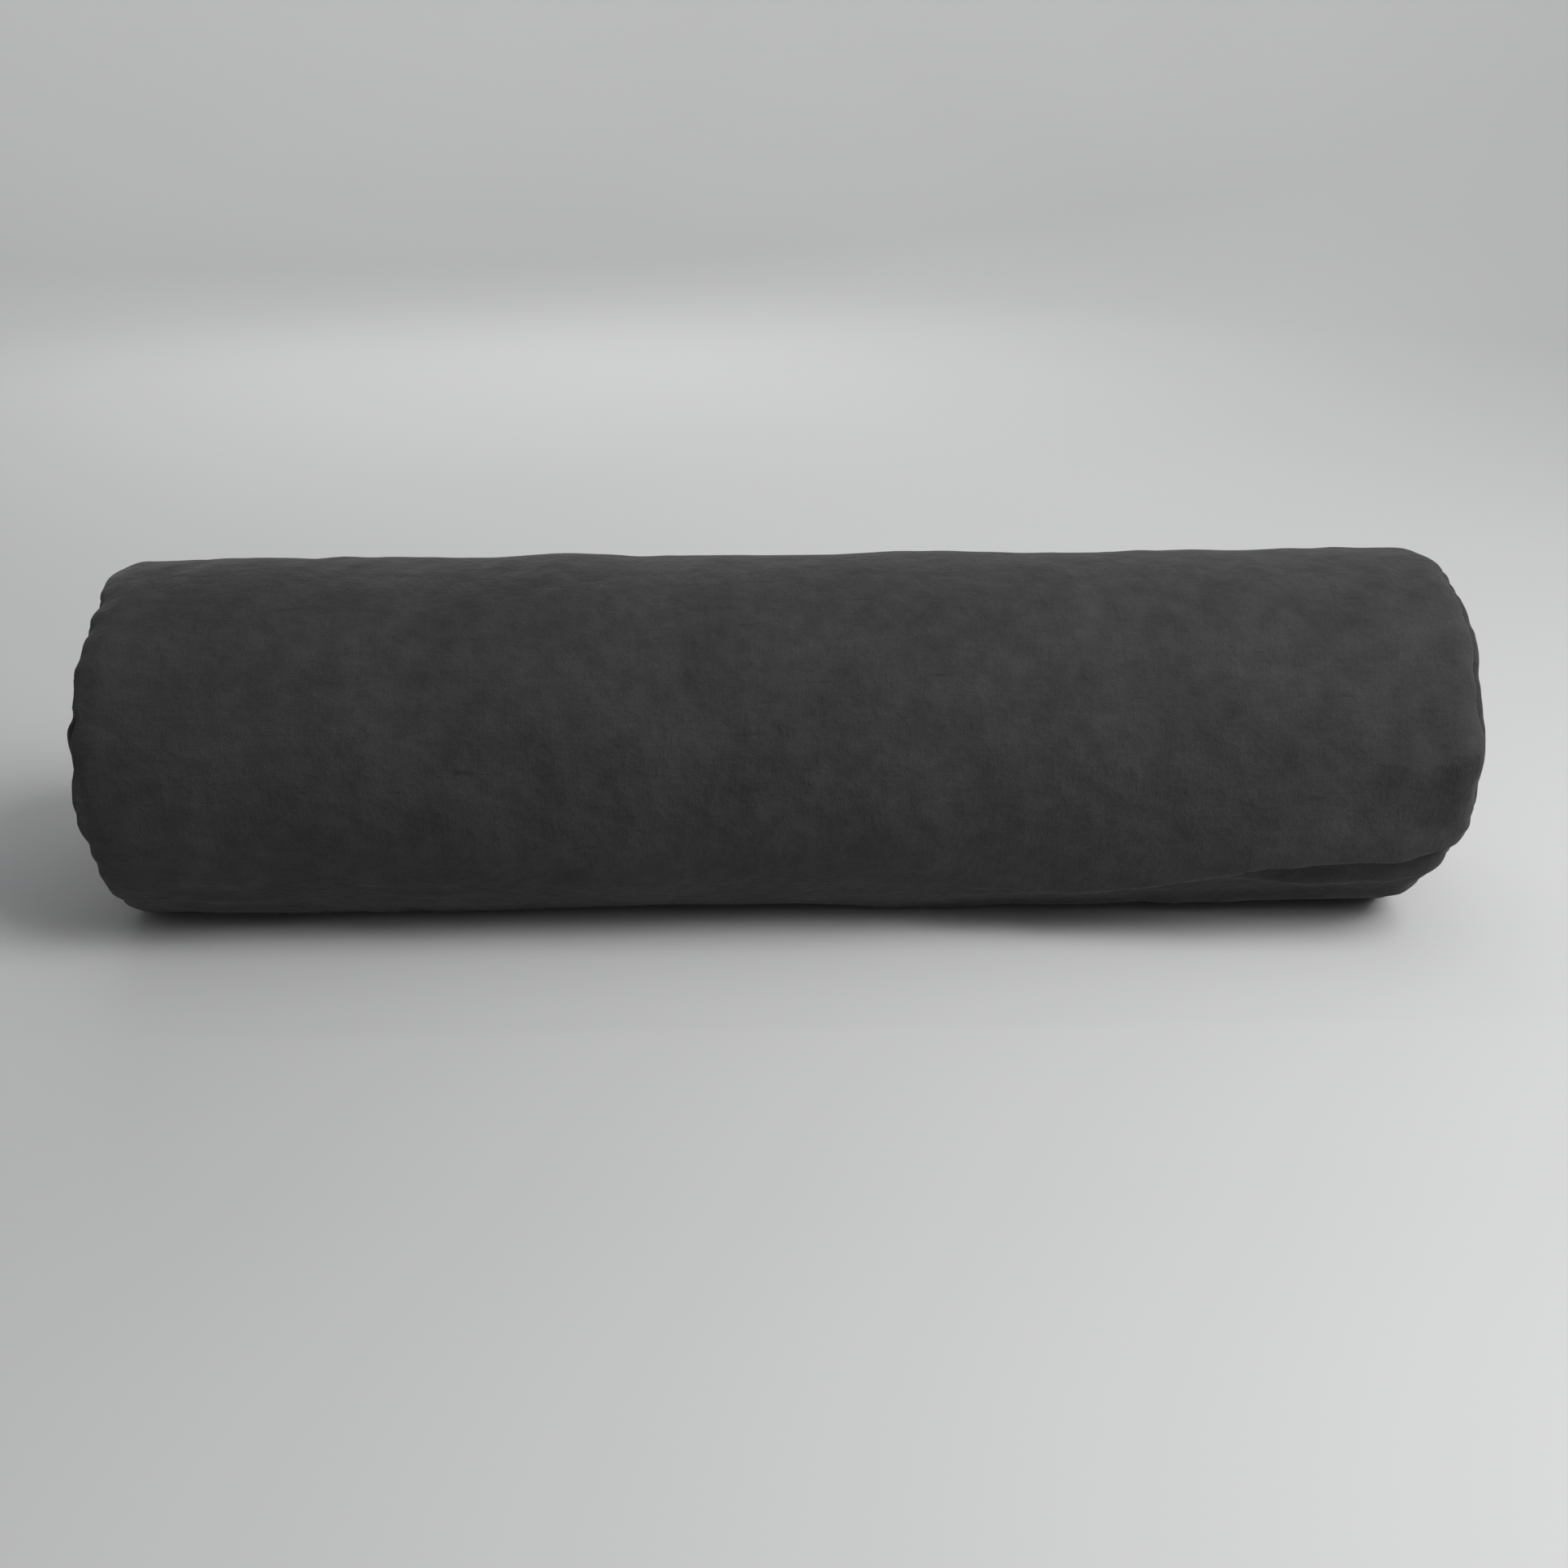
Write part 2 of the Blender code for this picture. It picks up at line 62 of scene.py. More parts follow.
# Angles round the bolster are from its front, over the top, in degrees.
ZIP_ANGLE = 180 - math.degrees(math.atan2(ZIP_OUT.z, ZIP_OUT.y))


def zip_point(x, across, out):
    """A point from its place along the zip, across it, and outwards from the bolster's axis."""
    return Vector((x, 0, AXIS_Z)) + ZIP_ACROSS * across + ZIP_OUT * out


def zip_box(node):
    """A CAD node's lowest and highest corners along the zip, across it and outwards."""
    spots = [v.co - Vector((0, 0, AXIS_Z)) for v in frame["nodes"][node].data.vertices]
    local = np.array([(p.x, p.dot(ZIP_ACROSS), p.dot(ZIP_OUT)) for p in spots])
    return Vector(local.min(0)), Vector(local.max(0))


COIL_LOW, COIL_HIGH = zip_box("zip_coil_lower")
TAPE_HIGH = zip_box("zip_tape_lower")[1]
STITCH_LOW, STITCH_HIGH = zip_box("zip_topstitch_lower")
TACK_LEFT = zip_box("zip_bar_tack_left")
TACK_RIGHT = zip_box("zip_bar_tack_right")

# ---------------------------------------------------------------- the covered shape

RIM_ROUNDING = 18.0 * MM
RIM_CIRCLE = RADIUS - RIM_ROUNDING
END_SLOPE = math.radians(13)
CROWN_RADIUS = RIM_CIRCLE / math.sin(END_SLOPE) + RIM_ROUNDING
CROWN_CENTRE = HALF_LENGTH - CROWN_RADIUS
SIDE_HALF = CROWN_CENTRE + (CROWN_RADIUS - RIM_ROUNDING) * math.cos(END_SLOPE)
RIM_ARC = RIM_ROUNDING * (math.pi / 2 - END_SLOPE)
CROWN_ARC = CROWN_RADIUS * END_SLOPE
# The seam that joins each end's disc, by how far its normal leans from the bolster's side.
SEAM_LEANS = {-1: math.radians(60), 1: math.radians(51)}
SEAM_RUNS = {side: SIDE_HALF + RIM_ROUNDING * lean for side, lean in SEAM_LEANS.items()}
TIP_RUN = SIDE_HALF + RIM_ARC + CROWN_ARC
GIRTH = 2 * math.pi * RADIUS

CLOTH = 0.8 * MM
# The filling gives way under the gathers from this run on, by this much.
END_SOFT_FROM = 278 * MM
END_SOFT = 2.4 * MM
SLOT_HALF = 5.5 * MM
SLOT_LEFT = TACK_LEFT[1].x + 0.9 * MM
SLOT_RIGHT = TACK_RIGHT[0].x - 0.9 * MM
SLOT_END_TAPER = 2.5 * MM
ZIP_FLAT = STITCH_LOW.z - 0.3 * MM


def meridian(run):
    """The long section: distance along X, from the axis, and the normal's lean, by the distance
    run along the section from the bolster's middle. All are arrays."""
    far = np.abs(run)
    lean = np.clip((far - SIDE_HALF) / RIM_ROUNDING, 0, math.pi / 2 - END_SLOPE)
    x = np.minimum(far, SIDE_HALF) + RIM_ROUNDING * np.sin(lean)
    r = RIM_CIRCLE + RIM_ROUNDING * np.cos(lean)
    left = np.clip(END_SLOPE - (far - SIDE_HALF - RIM_ARC) / CROWN_RADIUS, 0, END_SLOPE)
    crowned = far > SIDE_HALF + RIM_ARC
    x = np.where(crowned, CROWN_CENTRE + CROWN_RADIUS * np.cos(left), x)
    r = np.where(crowned, CROWN_RADIUS * np.sin(left), r)
    lean = np.where(crowned, math.pi / 2 - left, lean)
    return np.sign(run) * x, r, lean


def smooth(value, low, high):
    """0 below low, 1 above high, and a smooth step between them."""
    t = np.clip((value - low) / (high - low), 0, 1)
    return t * t * (3 - 2 * t)


def bump(value, width):
    """A bell of height 1 round zero."""
    return np.exp(-((value / width) ** 2))


def soft_max(value, least, softness):
    """The value, kept above the least one with a soft corner."""
    over = value - least
    return least + (over + np.sqrt(over * over + softness * softness)) / 2


def between(angle, knots):
    """Rounded steps from knot to knot round the bolster, each an angle and a height in mm."""
    angles, heights = np.array(knots).T
    at = (np.asarray(angle, float) + 180) % 360 - 180
    k = np.clip(np.searchsorted(angles, at) - 1, 0, len(angles) - 2)
    t = smooth(at, angles[k], angles[k + 1])
    return (heights[k] * (1 - t) + heights[k + 1] * t) * MM


def turn_from(angle, other):
    """How far one angle is from another, in degrees from -180 to 180."""
    return (angle - other + 180) % 360 - 180


def waves(x, angle, seed, count, longest, shortest, most_round):
    """Smooth noise of height about 1 over the bolster's side, the same at 0 and 360 degrees."""
    rng = np.random.default_rng(seed)
    total = np.zeros(np.broadcast(x, angle).shape)
    weight = 0.0
    for _ in range(count):
        length = shortest * (longest / shortest) ** rng.random()
        rounds = int(rng.integers(0, most_round + 1))
        phase = rng.random() * 2 * math.pi
        sign = 1 if rng.random() < 0.5 else -1
        height = (length / longest) ** 0.6
        total += height * np.sin(sign * 2 * math.pi * x / length + rounds * np.radians(angle) + phase)
        weight += height * height / 2
    return total / math.sqrt(weight)


# A fold: its crest as (x, angle) points, its height, the widths of its upper and lower flanks,
# how far the crest leans over the crease below it, the lengths over which it rises and fades,
# and, for one that runs into a rim, how much of it is left there.
FOLDS = [
    (
        ((40, -60), (70, -48), (104, -39), (149, -32), (191, -25), (219, -19.5), (260, -17.5), (318, -15.5)),
        7.0, 18.0, 2.8, 0.95, 150, 0, 0.40,
    ),
    (((200, -34.5), (250, -33.0), (318, -29.5)), 4.6, 5.0, 2.2, 0.9, 55, 0, 0.40),
    (((165, -53), (240, -51), (318, -47)), 3.2, 6.0, 4.0, 0.5, 60, 0, 0.4),
    (((86, -36), (104, -33), (126, -35)), 1.6, 4.0, 2.2, 0.6, 12, 18, 1),
    (((60, -66), (110, -58), (175, -54), (235, -53)), 2.2, 5.0, 3.0, 0.5, 25, 50, 1),
    (((255, 2), (285, 9), (318, 15)), 6.4, 10.0, 26.0, 0.1, 34, 0, 1),
    (((282, -3), (318, -6)), 1.0, 3.0, 2.4, 0.2, 25, 0, 1),
    (((290, -9), (318, -11)), 0.9, 2.6, 2.0, 0.2, 20, 0, 1),
    (((-300, -63), (-220, -61), (-120, -62), (-60, -64)), 1.0, 5.0, 3.0, 0.35, 30, 60, 1),
    (((-300, -24), (-262, -28), (-225, -27)), 1.5, 12.0, 6.0, 0.2, 20, 30, 1),
    (((-290, -38), (-262, -42), (-235, -41)), 1.2, 6.0, 4.0, 0.3, 20, 20, 1),
    (((-300, -48), (-250, -52), (-205, -50)), 1.6, 6.0, 4.0, 0.3, 20, 25, 1),
    (((-215, -27), (-195, -31), (-172, -33)), 1.0, 4.0, 2.4, 0.2, 14, 14, 1),
    (((-196, -36), (-170, -39), (-148, -38)), 1.2, 4.0, 2.6, 0.2, 14, 14, 1),
    (((-178, -28), (-160, -31), (-140, -30)), 0.8, 3.5, 2.4, 0.1, 14, 14, 1),
    (((-313, 20), (-290, 17), (-262, 19)), 0.6, 5.0, 4.0, 0.1, 8, 30, 1),
    (((-313, -8), (-288, -12), (-262, -11)), 0.6, 5.0, 4.0, 0.1, 8, 30, 1),
    (((-150, 176), (-20, 171), (90, 178)), 1.4, 9.0, 6.0, 0.2, 60, 60, 1),
    (((60, -168), (170, -160), (318, -156)), 2.4, 9.0, 4.0, 0.4, 50, 0, 0.4),
    (((-250, -158), (-160, -154), (-60, -157)), 1.8, 8.0, 4.0, 0.3, 40, 50, 1),
]


def fold_shape(x, angle):
    """How far the folds lift the cloth, and how far they drag it down round the bolster."""
    lift = np.zeros(np.broadcast(x, angle).shape)
    drag = np.zeros_like(lift)
    for line, height, above, below, lean, rise, fade, at_rim in FOLDS:
        xs = np.array([p[0] for p in line]) * MM
        crest = np.interp(x, xs, [p[1] for p in line])
        below_crest = -turn_from(angle, crest) * math.pi / 180 * RADIUS
        width = np.where(below_crest < 0, above, below) * MM
        along = smooth(x, xs[0], xs[0] + rise * MM)
        if fade:
            along = along * (1 - smooth(x, xs[-1] - fade * MM, xs[-1]))
        along = along * (1 - (1 - at_rim) * smooth(x, 285 * MM, 318 * MM))
        shape = height * MM * along * bump(below_crest, width)
        lift += shape
        drag += lean * shape
    return lift, drag


# How far each end stands out along the bolster, by the angle round it, in degrees and mm.
END_PROFILES = {
    -1: (
        (-180, 0.3), (-160, -0.6), (-140, 0.6), (-120, -0.4), (-95, 0.4), (-75, 1.2), (-62, 1.4),
        (-50, -1.2), (-37, -1.4), (-23, -1.8), (-15, -1.4), (-8, -0.2), (0, 0.4), (17, 0.6),
        (25, 0.8), (29, 0.4), (37, -0.8), (43, -0.6), (49, -3.0), (56, -2.8), (64, -3.0),
        (71, -5.6), (80, -2.2), (92, -0.6), (110, 0.5), (130, -0.8), (150, 0.2), (180, 0.3),
    ),
    1: (
        (-180, 0.4), (-150, -0.5), (-120, 0.2), (-95, -3.0), (-75, -9.0), (-60, -10.0), (-45, -8.0),
        (-32, -4.5), (-20, -1.2), (-10, 0.9), (7, 0.9), (19, 1.1), (25, 0.7), (34, 0.1),
        (40, -0.2), (49, 0.9), (56, 1.2), (62, 0.4), (71, 0.4), (80, 1.2), (90, 2.2),
        (104, 1.0), (125, -0.4), (150, 0.5), (180, 0.4),
    ),
}  # fmt: skip


class Puckers:
    """Gathers across a rim seam, at uneven places round it."""

    def __init__(self, seed, count, depth, width, reach):
        rng = np.random.default_rng(seed)
        step = 360 / count
        self.angles = (np.arange(count) + 0.75 * (rng.random(count) - 0.5)) * step
        self.depths = depth * MM * (0.35 + 0.9 * rng.random(count))
        self.widths = width * MM * (0.7 + 0.6 * rng.random(count))
        self.reaches = reach * MM * (0.5 + rng.random(count))
        self.slants = 9 * (rng.random(count) - 0.5)

    def depth_at(self, past_seam, angle):
        """past_seam is the distance from the seam towards the end's middle."""
        total = np.zeros(np.broadcast(past_seam, angle).shape)
        for a, depth, width, reach, slant in zip(
            self.angles, self.depths, self.widths, self.reaches, self.slants
        ):
            bent = a + slant * np.clip(past_seam / (20 * MM), -1.5, 1.5)
            side = turn_from(angle, bent) * math.pi / 180 * RIM_CIRCLE
            spread = width * (1 + np.abs(past_seam) / (2 * reach))
            total += depth * bump(side, spread) * np.exp(-np.abs(past_seam) / reach)
        return total


LEFT_PUCKERS = Puckers(11, 33, 1.4, 3.4, 12)
RIGHT_PUCKERS = Puckers(23, 25, 0.8, 3.6, 13)
FINE_PUCKERS = Puckers(31, 74, 0.45, 1.8, 5)


def rim_shape(run, angle):
    """How far the cloth lies out from the plain shape near the two rim seams."""
    out = np.zeros(np.broadcast(run, angle).shape)
    for side, puckers in ((-1, LEFT_PUCKERS), (1, RIGHT_PUCKERS)):
        past = side * run - SEAM_RUNS[side]
        near = smooth(-np.abs(past), -70 * MM, -25 * MM)
        deep = puckers.depth_at(past, angle) + FINE_PUCKERS.depth_at(past, angle + side * 2)
        groove = 0.9 * MM * bump(past, 0.9 * MM)
        shoulder = 0.35 * MM * bump(np.abs(past) - 4 * MM, 3.0 * MM)
        out += near * (shoulder - deep - groove)
        if side < 0:
            lumps = waves(0.0, angle * 1.0, 5, 9, 1.0, 0.9, 19)
            out += near * 0.4 * MM * lumps * bump(past - 6 * MM, 8 * MM)
            hollow = bump(turn_from(angle, 27) * math.pi / 180 * RIM_CIRCLE, 4 * MM)
            lobe = bump(turn_from(angle, 24) * math.pi / 180 * RIM_CIRCLE, 7 * MM)
            out -= 2.6 * MM * hollow * bump(past + 2 * MM, 3.5 * MM)
            out += 1.2 * MM * lobe * bump(past - 7 * MM, 5 * MM)
            strip = smooth(angle, -14, -4) * (1 - smooth(angle, 8, 14))
            out += 1.6 * MM * strip * bump(past + 4.5 * MM, 2.2 * MM)
    return out


def end_shift(run, angle):
    """How far the two ends' rims stand out along X beyond the plain shape."""
    r = meridian(run)[1]
    past_rim = smooth(r, 22 * MM, 60 * MM) * smooth(np.abs(run), SIDE_HALF - 22 * MM, SIDE_HALF + 9 * MM)
    shift = np.where(np.asarray(run) < 0, between(angle, END_PROFILES[-1]), between(angle, END_PROFILES[1]))
    return past_rim * shift * np.sign(run)


# ---------------------------------------------------------------- the cloth settles

SETTLED_ROWS, SETTLED_COLUMNS, SETTLED_FRAMES = 121, 96, 24
SETTLED_REACH = TIP_RUN - 40 * MM


def settle_cover():
    """The cover's cloth is cut a little large and lies over its filling under its own weight.
    Returns how far each point of an even grid over the side and the rims moves."""
    runs = np.linspace(-SETTLED_REACH, SETTLED_REACH, SETTLED_ROWS)
    angles = np.linspace(0, 360, SETTLED_COLUMNS, endpoint=False)
    angle, run = np.meshgrid(angles, runs)
    scene = bpy.context.scene

    def tube(name, depth):
        x, r, lean = meridian(run)
        r, x = r - depth * np.cos(lean), x - depth * np.sign(run) * np.sin(lean)
        z = np.maximum(AXIS_Z + r * np.sin(np.radians(angle)), depth)
        points = np.stack([x, -r * np.cos(np.radians(angle)), z], -1)
        obj = bpy.data.objects.new(name, grid_mesh(name, points, points[..., :2], closed=True))
        scene.collection.objects.link(obj)
        return obj, points

    filling, _ = tube("filling", 0.9 * MM)
    filling.modifiers.new("collision", "COLLISION")
    filling.collision.thickness_outer = 0.3 * MM
    cloth, start = tube("settling", 0.0)
    seam = np.minimum(np.abs(run + SEAM_RUNS[-1]), np.abs(run - SEAM_RUNS[1])) < 3 * MM
    sewn = (zip_distance(angle) < 17 * MM) & (np.abs(run) < SIDE_HALF - 30 * MM)
    edge = np.abs(run) > SETTLED_REACH - 1 * MM
    held = cloth.vertex_groups.new(name="held")
    held.add(np.nonzero((seam | sewn | edge).ravel())[0].tolist(), 1.0, "REPLACE")
    slack = cloth.vertex_groups.new(name="slack")
    # The cloth is loosest low at the front, most of all towards the right.
    loose = 0.35 + 0.65 * smooth(run, -60 * MM, 220 * MM) * bump(turn_from(angle, -35), 55)
    for k, weight in enumerate(loose.ravel()):
        slack.add([k], float(weight), "REPLACE")
    modifier = cloth.modifiers.new("cloth", "CLOTH")
    how = modifier.settings
    how.quality = 6
    how.mass = 0.0004
    how.tension_stiffness = how.compression_stiffness = 12
    how.shear_stiffness = 4
    how.bending_stiffness = 0.04
    how.vertex_group_mass = "held"
    how.pin_stiffness = 3
    how.vertex_group_shrink = "slack"
    how.shrink_min, how.shrink_max = -0.004, -0.045
    how.use_pressure = True
    how.uniform_pressure_force = 0.15
    modifier.collision_settings.distance_min = 0.3 * MM
    scene.frame_start, scene.frame_end = 1, SETTLED_FRAMES
    modifier.point_cache.frame_end = SETTLED_FRAMES
    for number in range(1, SETTLED_FRAMES + 1):
        scene.frame_set(number)
    seen = cloth.evaluated_get(bpy.context.evaluated_depsgraph_get())
    points = np.empty(len(seen.data.vertices) * 3)
    seen.data.vertices.foreach_get("co", points)
    moved = points.reshape(start.shape) - start
    scene.frame_set(1)
    for obj in (cloth, filling):
        mesh = obj.data
        bpy.data.objects.remove(obj)
        bpy.data.meshes.remove(mesh)
    length = np.linalg.norm(moved, axis=-1, keepdims=True)
    return moved * np.minimum(1, 7 * MM / np.maximum(length, 1e-9))


def settled_move(run, angle):
    """The settled grid's move at any point, with rounded steps between its points."""
    at = (run + SETTLED_REACH) / (2 * SETTLED_REACH) * (SETTLED_ROWS - 1)
    inside = (at >= 0) & (at <= SETTLED_ROWS - 1)
    at = np.clip(at, 0, SETTLED_ROWS - 1.001)
    over = (np.asarray(angle) % 360) / 360 * SETTLED_COLUMNS
    i, j = at.astype(int), over.astype(int) % SETTLED_COLUMNS
    u, v = at - i, over - np.floor(over)
    total = 0.0
    # Cubic B-spline weights keep the surface smooth from one cell of the grid to the next.
    for di in (-1, 0, 1, 2):
        wi = spline_weight(u - di)
        for dj in (-1, 0, 1, 2):
            w = wi * spline_weight(v - dj)
            row, column = np.clip(i + di, 0, SETTLED_ROWS - 1), (j + dj) % SETTLED_COLUMNS
            total = total + w[..., None] * SETTLED[row, column]
    return total * inside[..., None]


def spline_weight(t):
    t = np.abs(t)
    return np.where(t < 1, 2 / 3 - t * t + t**3 / 2, np.where(t < 2, (2 - t) ** 3 / 6, 0))


def zip_distance(angle):
    """The distance round the bolster from the zip's middle line, in metres."""
    return np.abs(turn_from(angle, ZIP_ANGLE)) * math.pi / 180 * RADIUS


SETTLED = None


def cloth_points(run, angle):
    """The cover's outer surface: points by the run along the section and the angle round."""
    x, r, lean = meridian(run)
    away = zip_distance(angle)
    turn = np.radians(turn_from(angle, ZIP_ANGLE))
    flat = ZIP_FLAT / np.maximum(np.cos(turn), 0.5)
    r = r * np.minimum(flat / RADIUS, 1)

    free = np.maximum(smooth(away, 14 * MM, 34 * MM), 1 - smooth(r, 50 * MM, 66 * MM))
    slack = (0.5 + 0.6 * waves(x, angle, 3, 16, 0.30, 0.07, 5)) * MM
    small = 0.16 * MM * waves(x, angle, 4, 26, 0.060, 0.018, 16)
    lift, drag = fold_shape(x, angle)
    side = smooth(np.where(run < 0, SEAM_RUNS[-1], SEAM_RUNS[1]) - np.abs(run), -10 * MM, 10 * MM)
    low_lip = bump(turn_from(angle, -76), 8) * (0.8 + 0.7 * waves(x, angle * 0, 8, 7, 0.3, 0.06, 0))
    dip = 2.6 * MM * bump(turn_from(angle, -64), 8) * bump(x - 58 * MM, 28 * MM)
    dip += 2.0 * MM * bump(turn_from(angle, -64), 9) * bump(x - 285 * MM, 36 * MM)
    on_side = 1 - smooth(np.abs(run), SIDE_HALF, SEAM_RUNS[1])
    low = 1 - 0.8 * bump(turn_from(angle, -66), 16)
    off_centre = smooth(r, 34 * MM, 70 * MM)
    y_in, z_in = r * np.cos(np.radians(angle)), r * np.sin(np.radians(angle))
    side_seed = np.where(run < 0, 1.0, 2.0)
    broad = waves(y_in + 0.4 * side_seed * z_in, y_in * 0, 61, 7, 0.12, 0.05, 0)
    broad = broad + waves(z_in - 0.5 * side_seed * y_in, y_in * 0, 62, 7, 0.10, 0.04, 0)
    slack = slack * off_centre + (1 - off_centre) * (0.5 + 0.35 * broad) * MM
    small = small * off_centre
    out = free * (low * slack + small + side * lift + on_side * (0.8 * MM * low_lip + dip))
    if SETTLED is not None:
        moved = settled_move(run, angle)
        c, n = np.cos(np.radians(angle)), np.sin(np.radians(angle))
        round_move = moved[..., 1] * -c + moved[..., 2] * n
        # The settling lifts the cloth by a millimetre all round. That is taken off again, so that
        # the cover keeps its size.
        settled = round_move * np.cos(lean) + np.sign(run) * moved[..., 0] * np.sin(lean)
        out += free * (settled - 1.0 * MM)
        drag = drag - (moved[..., 1] * n + moved[..., 2] * c) * free
    out += rim_shape(run, angle) * (0.35 + 0.65 * smooth(away, 4 * MM, 16 * MM))
    at_end = smooth(np.abs(run), END_SOFT_FROM + 6 * MM, END_SOFT_FROM + 20 * MM)
    out = soft_max(out, -0.3 * MM - (END_SOFT - 0.3 * MM) * at_end, 0.25 * MM)
    round_by = free * side * drag

    a = np.radians(angle) - round_by / RADIUS
    normal_r, normal_x = np.cos(lean), np.sign(run) * np.sin(lean)
    r = r + out * normal_r
    x = x + out * normal_x + end_shift(run, angle)
    z = AXIS_Z + r * np.sin(a)
    # The cloth lies on the floor, with a soft edge to where it touches.
    soft = 0.6 * MM
    z = (z + np.sqrt(z * z + soft * soft)) / 2
    return np.stack([x, -r * np.cos(a), z], -1)


# ---------------------------------------------------------------- mesh helpers


def spaced(start, end, spacing):
    """Places from start to end, whose local spacing a function gives."""
    places = [start]
    while places[-1] < end:
        places.append(places[-1] + spacing(places[-1]))
    places = np.array(places)
    return start + (places - start) * (end - start) / (places[-1] - start)


def add_object(name, mesh, body="bolster"):
    """A new piece that rides on a body."""
    obj = bpy.data.objects.new(name, mesh)
    bpy.context.scene.collection.objects.link(obj)
    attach(obj, body)
    return obj


def stand_in(obj, node, finish):
    """Gives a new piece its finish, and has it shown in place of a CAD node."""
    obj.data.materials.clear()
    obj.data.materials.append(finish)
    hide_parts(node)
    return obj


def grid_mesh(name, points, cloth_uv, closed=False):
    """A mesh of quads over a grid of points, with a map in metres for the weave."""
    rows, columns = points.shape[:2]
    index = np.arange(rows * columns).reshape(rows, columns)
    if closed:
        index = np.concatenate([index, index[:, :1]], 1)
    quads = np.stack([index[:-1, :-1], index[1:, :-1], index[1:, 1:], index[:-1, 1:]], -1)
    mesh = bpy.data.meshes.new(name)
    mesh.from_pydata(points.reshape(-1, 3).tolist(), [], quads.reshape(-1, 4).tolist())
    if closed:
        cloth_uv = np.concatenate([cloth_uv, cloth_uv[:, :1]], 1)
    corners = np.stack(
        [cloth_uv[:-1, :-1], cloth_uv[1:, :-1], cloth_uv[1:, 1:], cloth_uv[:-1, 1:]], -2
    )
    layer = mesh.uv_layers.new(name="cloth")
    layer.uv.foreach_set("vector", corners.astype(np.float32).ravel())
    mesh.shade_smooth()
    return mesh


def thicken(obj, thickness):
    """Gives a sheet its thickness, inwards."""
    solid = obj.modifiers.new("thickness", "SOLIDIFY")
    solid.thickness = thickness
    solid.offset = -1


def face_outwards(mesh, weld=0.0):
    """Turns a mesh's faces outwards, once points that lie closer than the weld are joined."""
    shape = bmesh.new()
    shape.from_mesh(mesh)
    if weld:
        bmesh.ops.remove_doubles(shape, verts=shape.verts, dist=weld)
    bmesh.ops.recalc_face_normals(shape, faces=shape.faces)
    shape.to_mesh(mesh)
    shape.free()
    mesh.shade_smooth()
    return mesh


# ---------------------------------------------------------------- the cover


def sleeve_columns():
    """Distances round from the zip's line, over the top to the front and under, back to it."""

    def spacing(w):
        at = ZIP_ANGLE - math.degrees(w / RADIUS)
        if min(w, GIRTH - w) < 9 * MM:
            return 0.8 * MM
        if -75 < at < -8:
            return 1.45 * MM
        return 2.7 * MM

    return spaced(0, GIRTH, spacing)


def sleeve_rows():
    """Distances along the section from the left seam to the right one."""

    def spacing(run):
        near = SEAM_RUNS[-1] + run if run < 0 else SEAM_RUNS[1] - run
        if near < 10 * MM:
            return 0.9 * MM
        if near < 45 * MM:
            return 2.2 * MM
        if min(abs(run - SLOT_LEFT), abs(run - SLOT_RIGHT)) < 5 * MM:
            return 1.2 * MM
        return 4.6 * MM

    return spaced(-SEAM_RUNS[-1], SEAM_RUNS[1], spacing)


def make_sleeve(finish):
    """The sleeve is one piece of cloth, sewn to itself along the zip's line and open at the zip."""
    round_at, run = np.meshgrid(sleeve_columns(), sleeve_rows())
    open_by = smooth(run, SLOT_LEFT, SLOT_LEFT + SLOT_END_TAPER)
    open_by = open_by * (1 - smooth(run, SLOT_RIGHT - SLOT_END_TAPER, SLOT_RIGHT)) * SLOT_HALF
    # Columns move away from the zip's line where the slot is, and hardly at all further round.
    from_edge = np.minimum(round_at, GIRTH - round_at)
    shift = open_by * np.exp(-from_edge / (30 * MM))
    placed = np.where(round_at < GIRTH / 2, round_at + shift, round_at - shift)
    angle = ZIP_ANGLE - np.degrees(placed / RADIUS)
    points = cloth_points(run, angle)

    # The edge is folded under: it rolls inwards at the slot, and dives into the seam past it.
    edge = np.minimum(placed, GIRTH - placed) - open_by
    in_slot = open_by / SLOT_HALF
    past_tape = smooth(np.abs(run), TAPE_HIGH.x + 1 * MM, TAPE_HIGH.x + 6 * MM)
    roll = (0.35 * in_slot + (1 - in_slot) * (0.35 + 0.9 * past_tape)) * MM
    width = (1.3 * in_slot + 1.6 * (1 - in_slot)) * MM
    drop = roll * np.clip(1 - edge / width, 0, 1) ** 2
    # The topstitching pulls the cloth down, and a soft ridge stands on each side of it.
    row = (STITCH_LOW.y + STITCH_HIGH.y) / 2 - SLOT_HALF
    sewn = in_slot * smooth(run, SLOT_LEFT, SLOT_LEFT + 6 * MM)
    drop += 0.30 * MM * in_slot * bump(edge - row, 0.8 * MM)
    drop -= 0.35 * MM * in_slot * bump(edge - row / 2, 1.3 * MM)
    drop -= 0.25 * MM * sewn * bump(edge - 1.7 * row, 2.0 * MM)
    drop += 0.12 * MM * in_slot * waves(run, angle * 0, 41, 9, 0.030, 0.009, 0) * bump(edge, 9 * MM)
    outwards = np.stack([np.zeros_like(angle), -np.cos(np.radians(angle)), np.sin(np.radians(angle))], -1)
    points = points - outwards * drop[..., None]

    mesh = grid_mesh("cover_sleeve_cloth", points, np.stack([placed, run], -1))
    obj = add_object("cover_sleeve_cloth", face_outwards(mesh, 0.01 * MM))
    thicken(obj, CLOTH)
    stand_in(obj, "cover_sleeve", finish)


